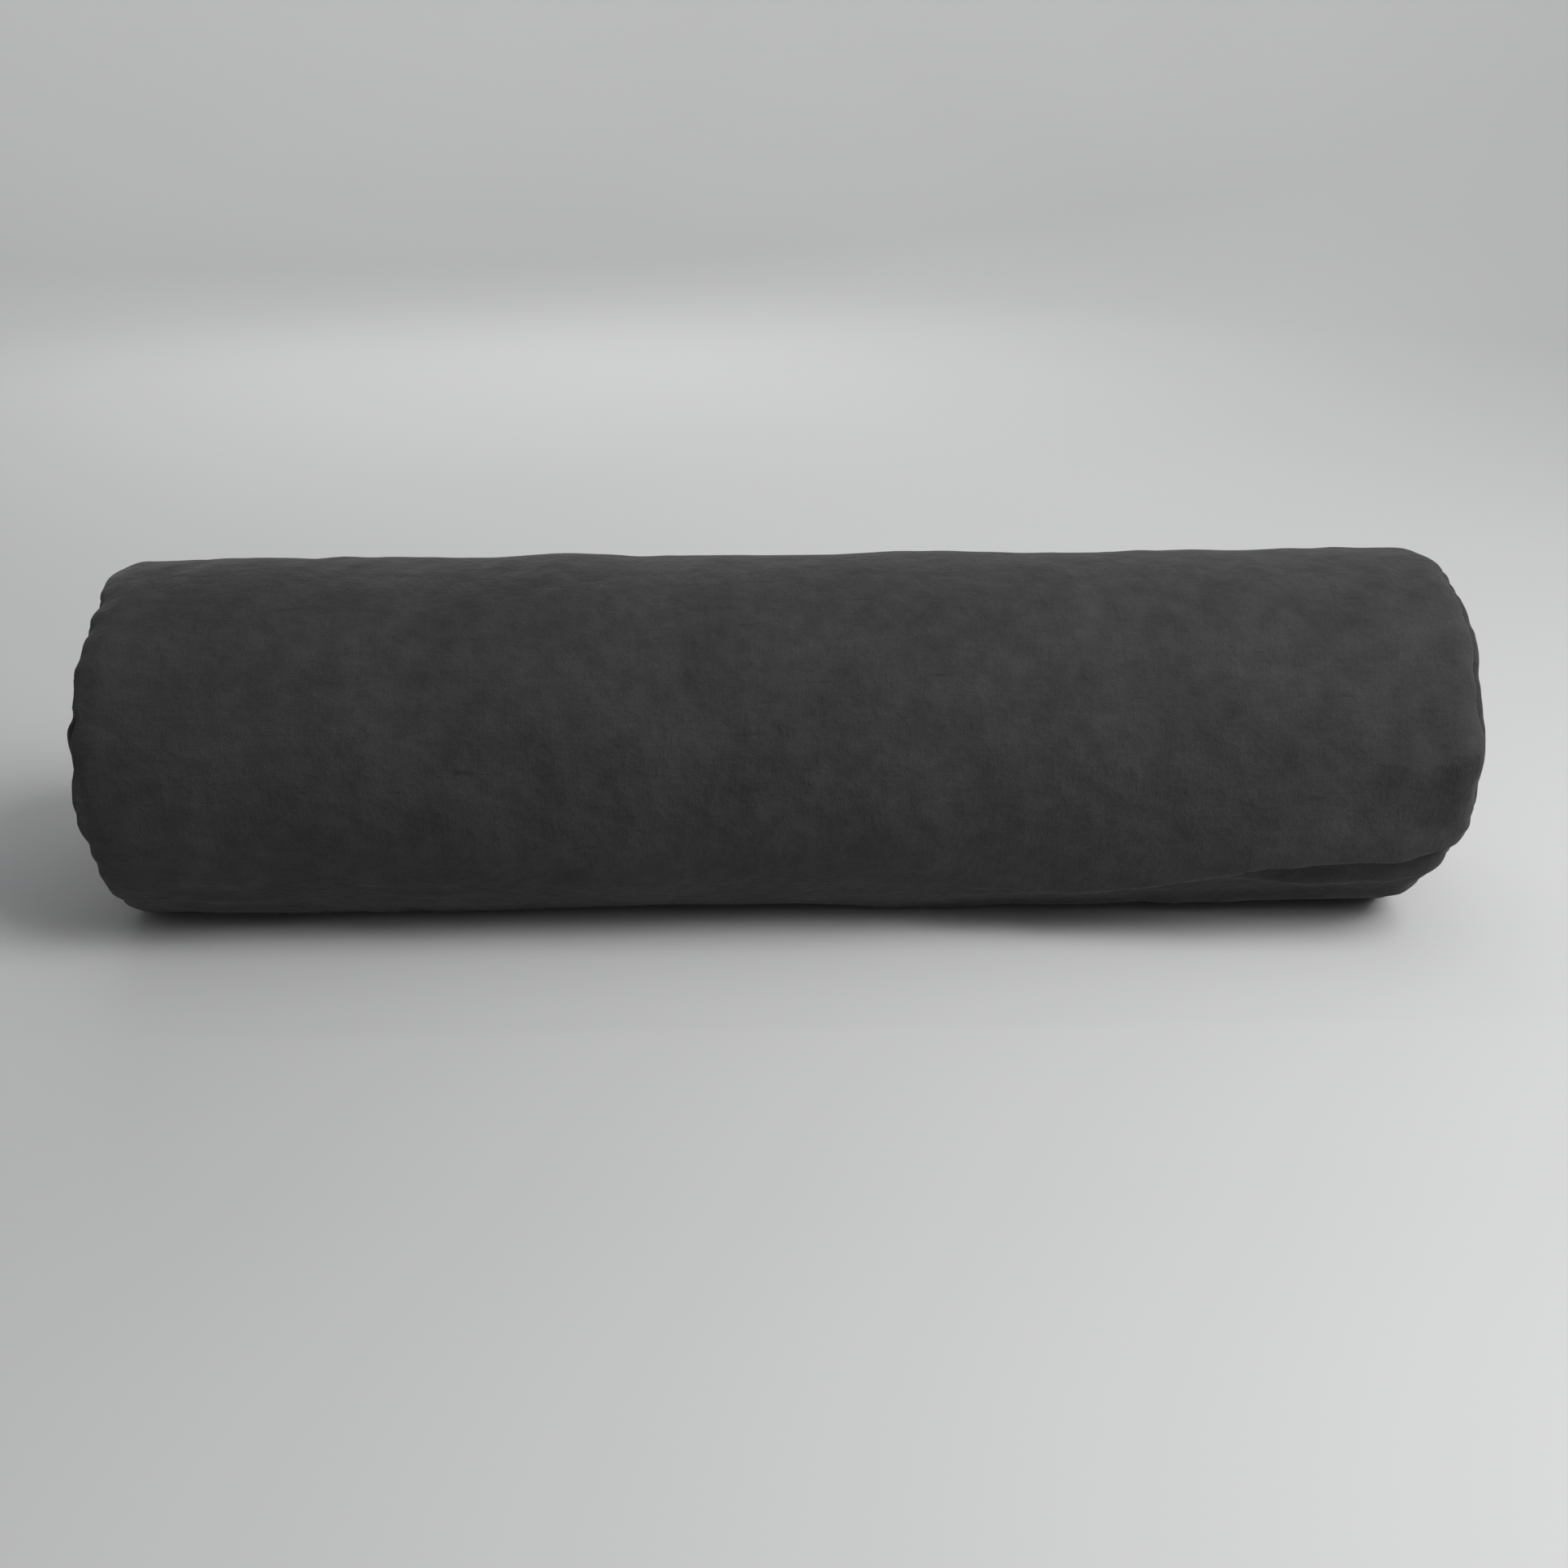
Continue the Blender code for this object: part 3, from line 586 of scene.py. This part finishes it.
def make_end(word, side, finish):
    """A disc of cloth sewn into one end of the sleeve."""

    def spacing(run):
        near = run - SEAM_RUNS[side]
        return (0.8 if near < 8 * MM else 2.0 if near < 20 * MM else 4.5) * MM

    runs = spaced(SEAM_RUNS[side], TIP_RUN - 1.0 * MM, spacing) * side
    angles = np.linspace(0, 360, 240, endpoint=False)
    if side > 0:
        angles = angles[::-1]
    angle, run = np.meshgrid(angles, runs)
    points = cloth_points(run, angle)
    mesh = grid_mesh("cover_end", points, points[..., 1:] + 0.4, closed=True)
    shape = bmesh.new()
    shape.from_mesh(mesh)
    shape.edges.ensure_lookup_table()
    starts = [(e, e.verts[0].co) for e in shape.edges if e.is_boundary]
    hole = [e for e, at in starts if math.hypot(at.y, at.z - AXIS_Z) < 5 * MM]
    made = bmesh.ops.triangle_fill(shape, edges=hole, use_beauty=True)["geom"]
    layer = shape.loops.layers.uv["cloth"]
    for face in (g for g in made if isinstance(g, bmesh.types.BMFace)):
        face.smooth = True
        for loop in face.loops:
            loop[layer].uv = (loop.vert.co.y + 0.4, loop.vert.co.z + 0.4)
    bmesh.ops.recalc_face_normals(shape, faces=shape.faces)
    if sum(f.normal.x * f.calc_area() for f in shape.faces) * side < 0:
        bmesh.ops.reverse_faces(shape, faces=shape.faces)
    shape.to_mesh(mesh)
    shape.free()
    obj = add_object(f"cover_end_{word}_cloth", mesh)
    thicken(obj, CLOTH)
    stand_in(obj, f"cover_end_{word}", finish)


# ---------------------------------------------------------------- the liner and the padding


def section_place(x, r):
    """The run along the section, the normal's lean and the depth below the plain surface."""
    far = np.abs(x)
    lean = np.arctan2(far - SIDE_HALF, r - RIM_CIRCLE)
    left = np.arctan2(r, far - CROWN_CENTRE)
    on_side = far <= SIDE_HALF
    on_rim = ~on_side & (r > RIM_CIRCLE) & (lean < math.pi / 2 - END_SLOPE)
    run = np.where(on_rim, SIDE_HALF + RIM_ROUNDING * lean, TIP_RUN - CROWN_RADIUS * left)
    depth = np.where(
        on_rim,
        RIM_ROUNDING - np.hypot(far - SIDE_HALF, r - RIM_CIRCLE),
        CROWN_RADIUS - np.hypot(r, far - CROWN_CENTRE),
    )
    lean = np.where(on_rim, lean, math.pi / 2 - left)
    run, depth = np.where(on_side, far, run), np.where(on_side, RADIUS - r, depth)
    return np.sign(x) * run, np.where(on_side, 0, lean), depth


def make_inner(name, finish, gives_way):
    """A soft layer below the cover: it gives way under the gathers at the ends, most at its
    outer face and not at all at the depth where it lies on what is firm."""
    mesh = frame["nodes"][name].data.copy()
    shape = bmesh.new()
    shape.from_mesh(mesh)
    bmesh.ops.remove_doubles(shape, verts=shape.verts, dist=0.001 * MM)
    # Extra rings of points, so that the layer bends where it gives way.
    for x in (-297, -288, -279, 279, 288, 297):
        everything = shape.verts[:] + shape.edges[:] + shape.faces[:]
        bmesh.ops.bisect_plane(shape, geom=everything, plane_co=(x * MM, 0, 0), plane_no=(1, 0, 0))
    shape.to_mesh(mesh)
    shape.free()
    points = np.empty(len(mesh.vertices) * 3)
    mesh.vertices.foreach_get("co", points)
    x, y, z = points.reshape(-1, 3).T - np.array([[0], [0], [AXIS_Z]])
    r = np.maximum(np.hypot(y, z), 1e-9)
    run, lean, depth = section_place(x, r)
    angle = np.degrees(np.arctan2(z, -y))
    share = np.clip(1 - depth / gives_way, 0, 1)
    inwards = share * END_SOFT * smooth(np.abs(run), END_SOFT_FROM, END_SOFT_FROM + 14 * MM)
    side = np.sign(run)
    shift = np.min([end_shift(run, angle + step) * side for step in (-10, -7, -4, 0, 4, 7, 10)], 0)
    x = x + side * (share * np.minimum(shift, 0) - inwards * np.sin(lean))
    shrink = (r - inwards * np.cos(lean)) / r
    mesh.vertices.foreach_set("co", np.stack([x, y * shrink, AXIS_Z + z * shrink], -1).ravel())
    mesh.update()
    obj = stand_in(add_object(f"{name}_soft", mesh), name, finish)


# ---------------------------------------------------------------- stitches


def stitches_mesh(name, stitches, radius, sides=6, rings=6):
    """A mesh of short rounded threads: each is its start, its end and the way it arches out."""
    points, faces = [], []
    for start, end, out in stitches:
        start, end, out = Vector(start), Vector(end), Vector(out)
        along = end - start
        side = along.cross(out).normalized()
        up = side.cross(along).normalized()
        first = len(points)
        for ring in range(rings + 1):
            t = ring / rings
            swell = math.sin(math.pi * min(max(t, 0.06), 0.94)) ** 0.45
            middle = start + along * t + out * math.sin(math.pi * t)
            for k in range(sides):
                a = 2 * math.pi * k / sides
                points.append(middle + (side * math.cos(a) + up * math.sin(a)) * radius * swell)
        for ring in range(rings):
            for k in range(sides):
                a, b = first + ring * sides + k, first + ring * sides + (k + 1) % sides
                faces.append((a, b, b + sides, a + sides))
        faces.append([first + k for k in reversed(range(sides))])
        faces.append([first + rings * sides + k for k in range(sides)])
    mesh = bpy.data.meshes.new(name)
    mesh.from_pydata([tuple(p) for p in points], [], faces)
    return face_outwards(mesh)


def make_rim_stitches(word, side, finish):
    """The seam's thread shows as short stitches in the groove round an end."""
    pitch = 3.0 * MM
    lean = SEAM_LEANS[side]
    seam_circle = RIM_CIRCLE + RIM_ROUNDING * math.cos(lean)
    count = int(2 * math.pi * seam_circle / pitch)
    angle = np.linspace(0, 360, count, endpoint=False)
    run = np.full_like(angle, side * SEAM_RUNS[side])
    starts, stops = (cloth_points(run, angle + turn * 360 / count) for turn in (-0.36, 0.36))
    out = np.stack(
        [
            np.full_like(angle, side * math.sin(lean)),
            -math.cos(lean) * np.cos(np.radians(angle)),
            math.cos(lean) * np.sin(np.radians(angle)),
        ],
        -1,
    )
    rest = 0.1 * MM
    rows = [(a + o * rest, b + o * rest, o * 0.2 * MM) for a, b, o in zip(starts, stops, out)]
    mesh = stitches_mesh(f"rim_seam_{word}_thread", rows, 0.28 * MM)
    stand_in(add_object(mesh.name, mesh), f"rim_seam_{word}", finish)


def make_topstitches(word, side, finish):
    """A row of stitches along one side of the zip's slot."""
    pitch, share = 3.2 * MM, 0.72
    across = side * (STITCH_LOW.y + STITCH_HIGH.y) / 2
    level = ZIP_FLAT + 0.02 * MM
    rows = []
    x = STITCH_LOW.x + pitch
    while x < STITCH_HIGH.x - pitch:
        start, end = zip_point(x, across, level), zip_point(x + pitch * share, across, level)
        rows.append((start, end, ZIP_OUT * 0.28 * MM))
        x += pitch
    mesh = stitches_mesh(f"zip_topstitch_{word}_thread", rows, 0.27 * MM)
    stand_in(add_object(mesh.name, mesh), f"zip_topstitch_{word}", finish)


def make_bar_tack(word, box, finish):
    """A bar tack: close threads across the end of the slot, over a few laid along it."""
    low, high = box
    middle = (low.x + high.x) / 2
    level = ZIP_FLAT + 0.15 * MM
    rows = []
    count = 15
    for k in range(count):
        across = low.y + (high.y - low.y) * (k + 0.5) / count
        lean = 0.12 * MM * (-1) ** k
        start = zip_point(low.x - 0.1 * MM, across + lean, level)
        end = zip_point(high.x + 0.1 * MM, across - lean, level)
        rows.append((start, end, ZIP_OUT * 0.30 * MM))
    for shift in (-0.5, 0.0, 0.5):
        start, end = (zip_point(middle + shift * MM, y, level - 0.1 * MM) for y in (low.y, high.y))
        rows.append((start, end, ZIP_OUT * 0.1 * MM))
    mesh = stitches_mesh(f"zip_bar_tack_{word}_thread", rows, 0.24 * MM)
    stand_in(add_object(mesh.name, mesh), f"zip_bar_tack_{word}", finish)


# ---------------------------------------------------------------- the zip


def swept_mesh(name, path, radius, sides=6):
    """A tube along a path of points, which is kept from twisting."""
    path = np.asarray(path)
    along = np.gradient(path, axis=0)
    along /= np.linalg.norm(along, axis=1)[:, None]
    side = np.cross(along, np.array(ZIP_OUT))
    weak = np.linalg.norm(side, axis=1) < 0.3
    side[weak] = np.cross(along[weak], np.array(ZIP_ACROSS))
    for k in range(1, len(path)):
        carried = side[k - 1] - along[k] * np.dot(side[k - 1], along[k])
        side[k] = carried / np.linalg.norm(carried)
    side[0] /= np.linalg.norm(side[0])
    up = np.cross(along, side)
    a = np.linspace(0, 2 * math.pi, sides, endpoint=False)
    ring = side[:, None] * np.cos(a)[None, :, None] + up[:, None] * np.sin(a)[None, :, None]
    points = path[:, None] + radius * ring
    index = np.arange(len(path) * sides).reshape(len(path), sides)
    index = np.concatenate([index, index[:, :1]], 1)
    quads = np.stack([index[:-1, :-1], index[:-1, 1:], index[1:, 1:], index[1:, :-1]], -1)
    faces = quads.reshape(-1, 4).tolist()
    faces.append(list(range(sides))[::-1])
    faces.append([len(path) * sides - sides + k for k in range(sides)])
    mesh = bpy.data.meshes.new(name)
    mesh.from_pydata(points.reshape(-1, 3).tolist(), [], faces)
    return face_outwards(mesh)


def make_coil(word, side, finish):
    """A coil wound from one nylon filament, flattened, with its heads towards the other coil."""
    pitch, filament = 1.5 * MM, 0.36 * MM
    nose_gap = 0.42 * MM
    near, far = nose_gap + filament, COIL_HIGH.y - filament
    low, high = COIL_LOW.z + filament, COIL_HIGH.z - filament
    turns = int((COIL_HIGH.x - COIL_LOW.x - 2 * filament) / pitch)
    per_turn = 12
    t = np.arange(turns * per_turn + 1) / per_turn + (0.5 if side > 0 else 0.0)
    a = 2 * math.pi * t
    squared = 0.75

    def rounded(value):
        return np.sign(value) * np.abs(value) ** squared

    across = (near + far) / 2 + (far - near) / 2 * rounded(np.cos(a))
    out = (low + high) / 2 + (high - low) / 2 * rounded(np.sin(a))
    x = COIL_LOW.x + filament + t * pitch - 0.22 * pitch * np.sin(2 * a)
    path = [tuple(zip_point(px, side * py, pz)) for px, py, pz in zip(x, across, out)]
    obj = add_object(f"zip_coil_{word}_wound", swept_mesh("coil", path, filament, 5))
    stand_in(obj, f"zip_coil_{word}", finish)


def make_cast(name, body, width, finish):
    """A cast or stamped metal part, with its edges softened."""
    obj = add_object(f"{name}_cast", frame["nodes"][name].data.copy(), body)
    bevel = obj.modifiers.new("soft edges", "BEVEL")
    bevel.width = width
    bevel.segments = 2
    bevel.limit_method = "ANGLE"
    bevel.angle_limit = math.radians(35)
    bevel.harden_normals = True
    obj.data.shade_smooth()
    stand_in(obj, name, finish)


# ---------------------------------------------------------------- materials


class Nodes:
    """A material's node tree, built with short calls."""

    def __init__(self, name):
        self.material = bpy.data.materials.new(name)
        self.material.use_nodes = True
        self.tree = self.material.node_tree
        self.shader = self.tree.nodes["Principled BSDF"]

    def add(self, kind, settings=None, **inputs):
        node = self.tree.nodes.new(kind)
        for key, value in (settings or {}).items():
            setattr(node, key, value)
        for key, value in inputs.items():
            self.put(node.inputs[key.replace("_", " ")], value)
        return node

    def put(self, socket, value):
        if isinstance(value, bpy.types.NodeSocket):
            self.tree.links.new(value, socket)
        else:
            socket.default_value = value

    def math(self, operation, a, b=0.0):
        node = self.add("ShaderNodeMath", {"operation": operation})
        self.put(node.inputs[0], a)
        self.put(node.inputs[1], b)
        return node.outputs[0]

    def noise(self, place, scale, detail=2.0, roughness=0.5, stretch=(1, 1, 1)):
        """Noise from about 0.2 to 0.8, with its place multiplied by the stretch."""
        at = self.add("ShaderNodeMapping", {}, Vector=place)
        at.inputs["Scale"].default_value = stretch
        node = self.add(
            "ShaderNodeTexNoise", {}, Vector=at.outputs[0], Scale=scale, Detail=detail, Roughness=roughness
        )
        return node.outputs["Fac"]

    def span(self, value, low, high, to_low, to_high):
        """The value carried over from one range to another, and kept inside it."""
        node = self.add("ShaderNodeMapRange", {"clamp": True})
        for key, number in zip(("From Min", "From Max", "To Min", "To Max"), (low, high, to_low, to_high)):
            node.inputs[key].default_value = number
        self.put(node.inputs["Value"], value)
        return node.outputs["Result"]

    def blend(self, kind, factor, a, b):
        node = self.add("ShaderNodeMix", {"data_type": "RGBA", "blend_type": kind})
        self.put(node.inputs["Factor"], factor)
        self.put(node.inputs["A"], a)
        self.put(node.inputs["B"], b)
        return node.outputs["Result"]

    def tinted(self, colour, tone):
        """A colour made lighter and darker by a tone, which is about 1."""
        tones = self.add("ShaderNodeCombineColor", {}, Red=tone, Green=tone, Blue=tone).outputs[0]
        return self.blend("MULTIPLY", 1.0, colour, tones)

    def bump(self, height, distance, normal=None):
        node = self.add("ShaderNodeBump", {}, Height=height, Distance=distance, Strength=1.0)
        if normal is not None:
            self.put(node.inputs["Normal"], normal)
        return node.outputs["Normal"]


def grey(value, warm=0.0):
    """A grey, or a slightly warm one."""
    return (value * (1 + warm), value, value * (1 - warm), 1)


def brushed_cotton():
    """Charcoal cotton flannel: a soft uneven nap over a fine weave, with a few specks of lint."""
    n = Nodes("brushed_cotton")
    uv = n.add("ShaderNodeUVMap", {"uv_map": "cloth"}).outputs[0]
    place = n.add("ShaderNodeTexCoord").outputs["Object"]

    patches = n.noise(place, 24, 3, 0.55)
    blots = n.noise(place, 95, 4, 0.65)
    weft = n.noise(uv, 520, 3, 0.6, (0.22, 1, 1))
    warp = n.noise(uv, 520, 3, 0.6, (1, 0.22, 1))
    slubs = n.noise(uv, 260, 2, 0.5, (1, 0.14, 1))
    nap = n.noise(uv, 1300, 2, 0.6)
    flecks = n.noise(uv, 700, 3, 0.7, (0.6, 1, 1))

    tone = n.span(patches, 0.3, 0.7, 0.86, 1.14)
    tone = n.math("MULTIPLY", tone, n.span(blots, 0.3, 0.7, 0.88, 1.12))
    tone = n.math("MULTIPLY", tone, n.span(weft, 0.3, 0.7, 0.95, 1.05))
    tone = n.math("MULTIPLY", tone, n.span(warp, 0.3, 0.7, 0.94, 1.06))
    tone = n.math("MULTIPLY", tone, n.span(slubs, 0.24, 0.36, 0.80, 1.0))
    tone = n.math("MULTIPLY", tone, n.span(nap, 0.3, 0.7, 0.86, 1.14))
    tone = n.math("MULTIPLY", tone, n.span(flecks, 0.30, 0.40, 0.72, 1.0))
    tone = n.math("ADD", tone, n.span(flecks, 0.66, 0.76, 0.0, 0.35))

    # Painted shade: under the slanting step at the right-hand rim the colour is darkened, where the cloth
    # turns downwards away from the light.
    axes = n.add("ShaderNodeSeparateXYZ", {}, Vector=place)
    step = n.math("MULTIPLY", n.math("SUBTRACT", axes.outputs["X"], 285 * MM), 0.27)
    below = n.math("SUBTRACT", n.math("ADD", step, AXIS_Z + 13.5 * MM), axes.outputs["Z"])
    below = n.math("ADD", below, n.span(blots, 0.3, 0.7, -3 * MM, 3 * MM))
    painted_shade_below_step = n.math("MULTIPLY", n.span(below, 0, 3 * MM, 0, 1), n.span(below, 24 * MM, 38 * MM, 1, 0))
    painted_shade_below_step = n.math("MULTIPLY", painted_shade_below_step, n.span(axes.outputs["X"], 283 * MM, 300 * MM, 0, 1))
    painted_shade_below_step = n.math("MULTIPLY", painted_shade_below_step, n.span(axes.outputs["Y"], -40 * MM, -20 * MM, 1, 0))
    # painted shade below the step: the colour there is made up to 30% darker
    tone = n.math("MULTIPLY", tone, n.math("SUBTRACT", 1.0, n.math("MULTIPLY", painted_shade_below_step, 0.30)))

    colour = n.tinted(grey(0.036), tone)

    specks = n.add("ShaderNodeTexVoronoi", {"feature": "F1"}, Vector=place, Scale=26.0, Randomness=1.0)
    drawn = n.add("ShaderNodeSeparateColor", {}, Color=specks.outputs["Color"]).outputs[0]
    chosen = n.math("GREATER_THAN", drawn, 0.93)
    close = n.math("LESS_THAN", specks.outputs["Distance"], 0.016)
    lint = n.math("MULTIPLY", chosen, close)
    colour = n.blend("MIX", n.math("MULTIPLY", lint, 0.8), colour, grey(0.42))
    n.put(n.shader.inputs["Base Color"], colour)

    n.shader.inputs["Roughness"].default_value = 0.95
    n.shader.inputs["Specular IOR Level"].default_value = 0.15
    n.shader.inputs["Sheen Weight"].default_value = 0.12
    n.shader.inputs["Sheen Roughness"].default_value = 0.45
    n.shader.inputs["Sheen Tint"].default_value = grey(0.9)

    weave = n.math("ADD", n.math("MULTIPLY", weft, 0.6), n.math("MULTIPLY", warp, 0.6))
    height = n.math("ADD", weave, n.math("MULTIPLY", nap, 0.8))
    normal = n.bump(height, 0.00028)
    normal = n.bump(n.math("ADD", patches, blots), 0.0013, normal)
    n.put(n.shader.inputs["Normal"], normal)
    return n.material


def simple_fibre(name, value, scale, depth, roughness, stretch=(1, 1, 1), warm=0.0):
    """A fibrous surface: fine grain in the colour and the relief."""
    n = Nodes(name)
    place = n.add("ShaderNodeTexCoord").outputs["Object"]
    grain = n.noise(place, scale, 4, 0.65, stretch)
    broad = n.noise(place, scale / 12, 2, 0.5)
    tone = n.math("MULTIPLY", n.span(grain, 0.3, 0.7, 0.75, 1.2), n.span(broad, 0.3, 0.7, 0.9, 1.08))
    n.put(n.shader.inputs["Base Color"], n.tinted(grey(value, warm), tone))
    n.shader.inputs["Roughness"].default_value = roughness
    n.put(n.shader.inputs["Normal"], n.bump(grain, depth))
    return n.material


def zip_tape_cloth():
    """Woven tape with a herringbone of fine slanting ribs."""
    n = Nodes("zip_tape_cloth")
    place = n.add("ShaderNodeTexCoord").outputs["Object"]
    axes = n.add("ShaderNodeSeparateXYZ", {}, Vector=place)
    folded = n.math("PINGPONG", axes.outputs["Z"], 0.0016)
    slant = n.math("ADD", axes.outputs["X"], folded)
    ribs = n.math("SINE", n.math("MULTIPLY", slant, 2 * math.pi / 0.0007))
    grain = n.noise(place, 2200, 2, 0.5)
    tone = n.math("MULTIPLY", n.span(ribs, -1, 1, 0.7, 1.15), n.span(grain, 0.3, 0.7, 0.85, 1.15))
    n.put(n.shader.inputs["Base Color"], n.tinted(grey(0.028), tone))
    n.shader.inputs["Roughness"].default_value = 0.85
    n.put(n.shader.inputs["Normal"], n.bump(ribs, 0.0001))
    return n.material


def nylon():
    """Satin black filament, a little hazed."""
    n = Nodes("coil_nylon")
    place = n.add("ShaderNodeTexCoord").outputs["Object"]
    haze = n.noise(place, 900, 3, 0.6)
    tone = n.span(haze, 0.3, 0.7, 0.8, 1.3)
    n.put(n.shader.inputs["Base Color"], n.tinted(grey(0.024), tone))
    n.put(n.shader.inputs["Roughness"], n.span(haze, 0.3, 0.7, 0.34, 0.52))
    return n.material


def blackened_metal():
    """Painted zinc, with the paint rubbed thin in small patches."""
    n = Nodes("blackened_metal")
    place = n.add("ShaderNodeTexCoord").outputs["Object"]
    wear = n.noise(place, 420, 4, 0.6)
    fine = n.noise(place, 3000, 3, 0.6)
    rubbed = n.span(wear, 0.58, 0.70, 0.0, 1.0)
    n.put(n.shader.inputs["Base Color"], n.blend("MIX", rubbed, grey(0.045), grey(0.16, 0.02)))
    n.put(n.shader.inputs["Roughness"], n.span(fine, 0.3, 0.7, 0.28, 0.42))
    n.shader.inputs["Metallic"].default_value = 0.85
    n.put(n.shader.inputs["Normal"], n.bump(fine, 0.00003))
    return n.material


def floor_paint():
    """Pale matt paint, very slightly uneven."""
    n = Nodes("pale_floor")
    place = n.add("ShaderNodeTexCoord").outputs["Object"]
    cloud = n.noise(place, 1.4, 2, 0.5)
    tone = n.span(cloud, 0.3, 0.7, 0.985, 1.015)
    n.put(n.shader.inputs["Base Color"], n.tinted(grey(0.55), tone))
    n.shader.inputs["Roughness"].default_value = 0.9
    n.shader.inputs["Specular IOR Level"].default_value = 0.1
    return n.material


# ---------------------------------------------------------------- camera, floor and light


def make_camera():
    """A camera a little above the bolster's front."""
    lens = bpy.data.cameras.new("camera")
    lens.lens = 42.5
    lens.sensor_width = 36
    camera = bpy.data.objects.new("camera", lens)
    camera.location = (-0.024, -0.847, 0.436)
    camera.rotation_euler = (math.radians(65.7), 0, math.radians(-1.76))
    bpy.context.scene.collection.objects.link(camera)
    bpy.context.scene.camera = camera


def area_light(name, place, target, size, power):
    """A rectangular lamp that faces a target."""
    lamp = bpy.data.lights.new(name, "AREA")
    lamp.shape = "RECTANGLE"
    lamp.size, lamp.size_y = size
    lamp.energy = power
    obj = bpy.data.objects.new(name, lamp)
    obj.location = place
    obj.rotation_euler = (Vector(target) - Vector(place)).to_track_quat("-Z", "Y").to_euler()
    bpy.context.scene.collection.objects.link(obj)


def make_stage():
    """A round floor that curves up into a wall, so that no view shows an edge, and soft lights."""
    curve = [(0.0, 0.0)]
    curve += [(1.7 + 1.4 * math.sin(a), 1.4 - 1.4 * math.cos(a)) for a in np.linspace(0, math.pi / 2, 25)]
    turns = np.linspace(0, 2 * math.pi, 96, endpoint=False)
    points = [[(r * math.cos(t), r * math.sin(t), z) for t in turns] for r, z in curve]
    mesh = grid_mesh("floor", np.array(points), np.zeros((len(curve), 96, 2)), closed=True)
    face_outwards(mesh, 0.01 * MM)
    floor = bpy.data.objects.new("floor", mesh)
    floor.location.z = -0.05 * MM
    floor.data.materials.append(floor_paint())
    bpy.context.scene.collection.objects.link(floor)

    area_light("key", (0.90, -0.60, 1.30), (0.15, 0.0, 0.08), (0.8, 0.8), 20.0)
    area_light("near", (0.75, -0.75, 0.85), (0.15, 0.0, 0.08), (0.6, 0.5), 3.5)
    area_light("top", (0.40, 0.0, 1.30), (0.20, 0.0, 0.08), (0.8, 0.8), 1.5)
    area_light("back", (-0.30, 1.50, 0.85), (0.0, 0.0, 0.08), (1.2, 0.6), 5.0)
    area_light("backdrop", (0.0, 1.2, 2.4), (0.0, 3.1, 1.2), (3.6, 0.8), 45)
    world = bpy.data.worlds.new("studio")
    world.use_nodes = True
    world.node_tree.nodes["Background"].inputs["Color"].default_value = (0.95, 0.97, 1.0, 1)
    world.node_tree.nodes["Background"].inputs["Strength"].default_value = 0.24
    bpy.context.scene.world = world
    bpy.context.scene.view_settings.view_transform = "Standard"


# ---------------------------------------------------------------- assembly

make_camera()
make_stage()
SETTLED = settle_cover()

COTTON = brushed_cotton()
THREAD = simple_fibre("spun_thread", 0.030, 2600, 0.00006, 0.8, (1, 1, 0.3))
METAL = blackened_metal()
NYLON = nylon()
WADDING = simple_fibre("polyester_wadding", 0.80, 380, 0.0012, 0.95)
LINER = simple_fibre("nonwoven", 0.020, 1300, 0.0002, 0.9)
CARRIED = {
    "foam_core": simple_fibre("open_cell_foam", 0.62, 900, 0.0006, 0.95, warm=0.07),
    "zip_tape": zip_tape_cloth(),
}

make_sleeve(COTTON)
for word, side in (("left", -1), ("right", 1)):
    make_end(word, side, COTTON)
    make_rim_stitches(word, side, THREAD)
for name in ("liner_sleeve", "liner_end_left", "liner_end_right"):
    make_inner(name, LINER, 30 * MM)
for name in ("padding_wrap", "padding_end_left", "padding_end_right"):
    make_inner(name, WADDING, 9.5 * MM)
for word, side in (("upper", -1), ("lower", 1)):
    make_coil(word, side, NYLON)
    make_topstitches(word, side, THREAD)
make_cast("zip_slider", "slider", 0.16 * MM, METAL)
make_cast("zip_pull_tab", "pull_tab", 0.22 * MM, METAL)
for name in ("zip_top_stop_upper", "zip_top_stop_lower", "zip_bottom_stop"):
    make_cast(name, "bolster", 0.18 * MM, METAL)
make_bar_tack("left", TACK_LEFT, THREAD)
make_bar_tack("right", TACK_RIGHT, THREAD)

for name, node in frame["nodes"].items():
    for start, finish in CARRIED.items():
        if name.startswith(start):
            node.data.materials.clear()
            node.data.materials.append(finish)
            break
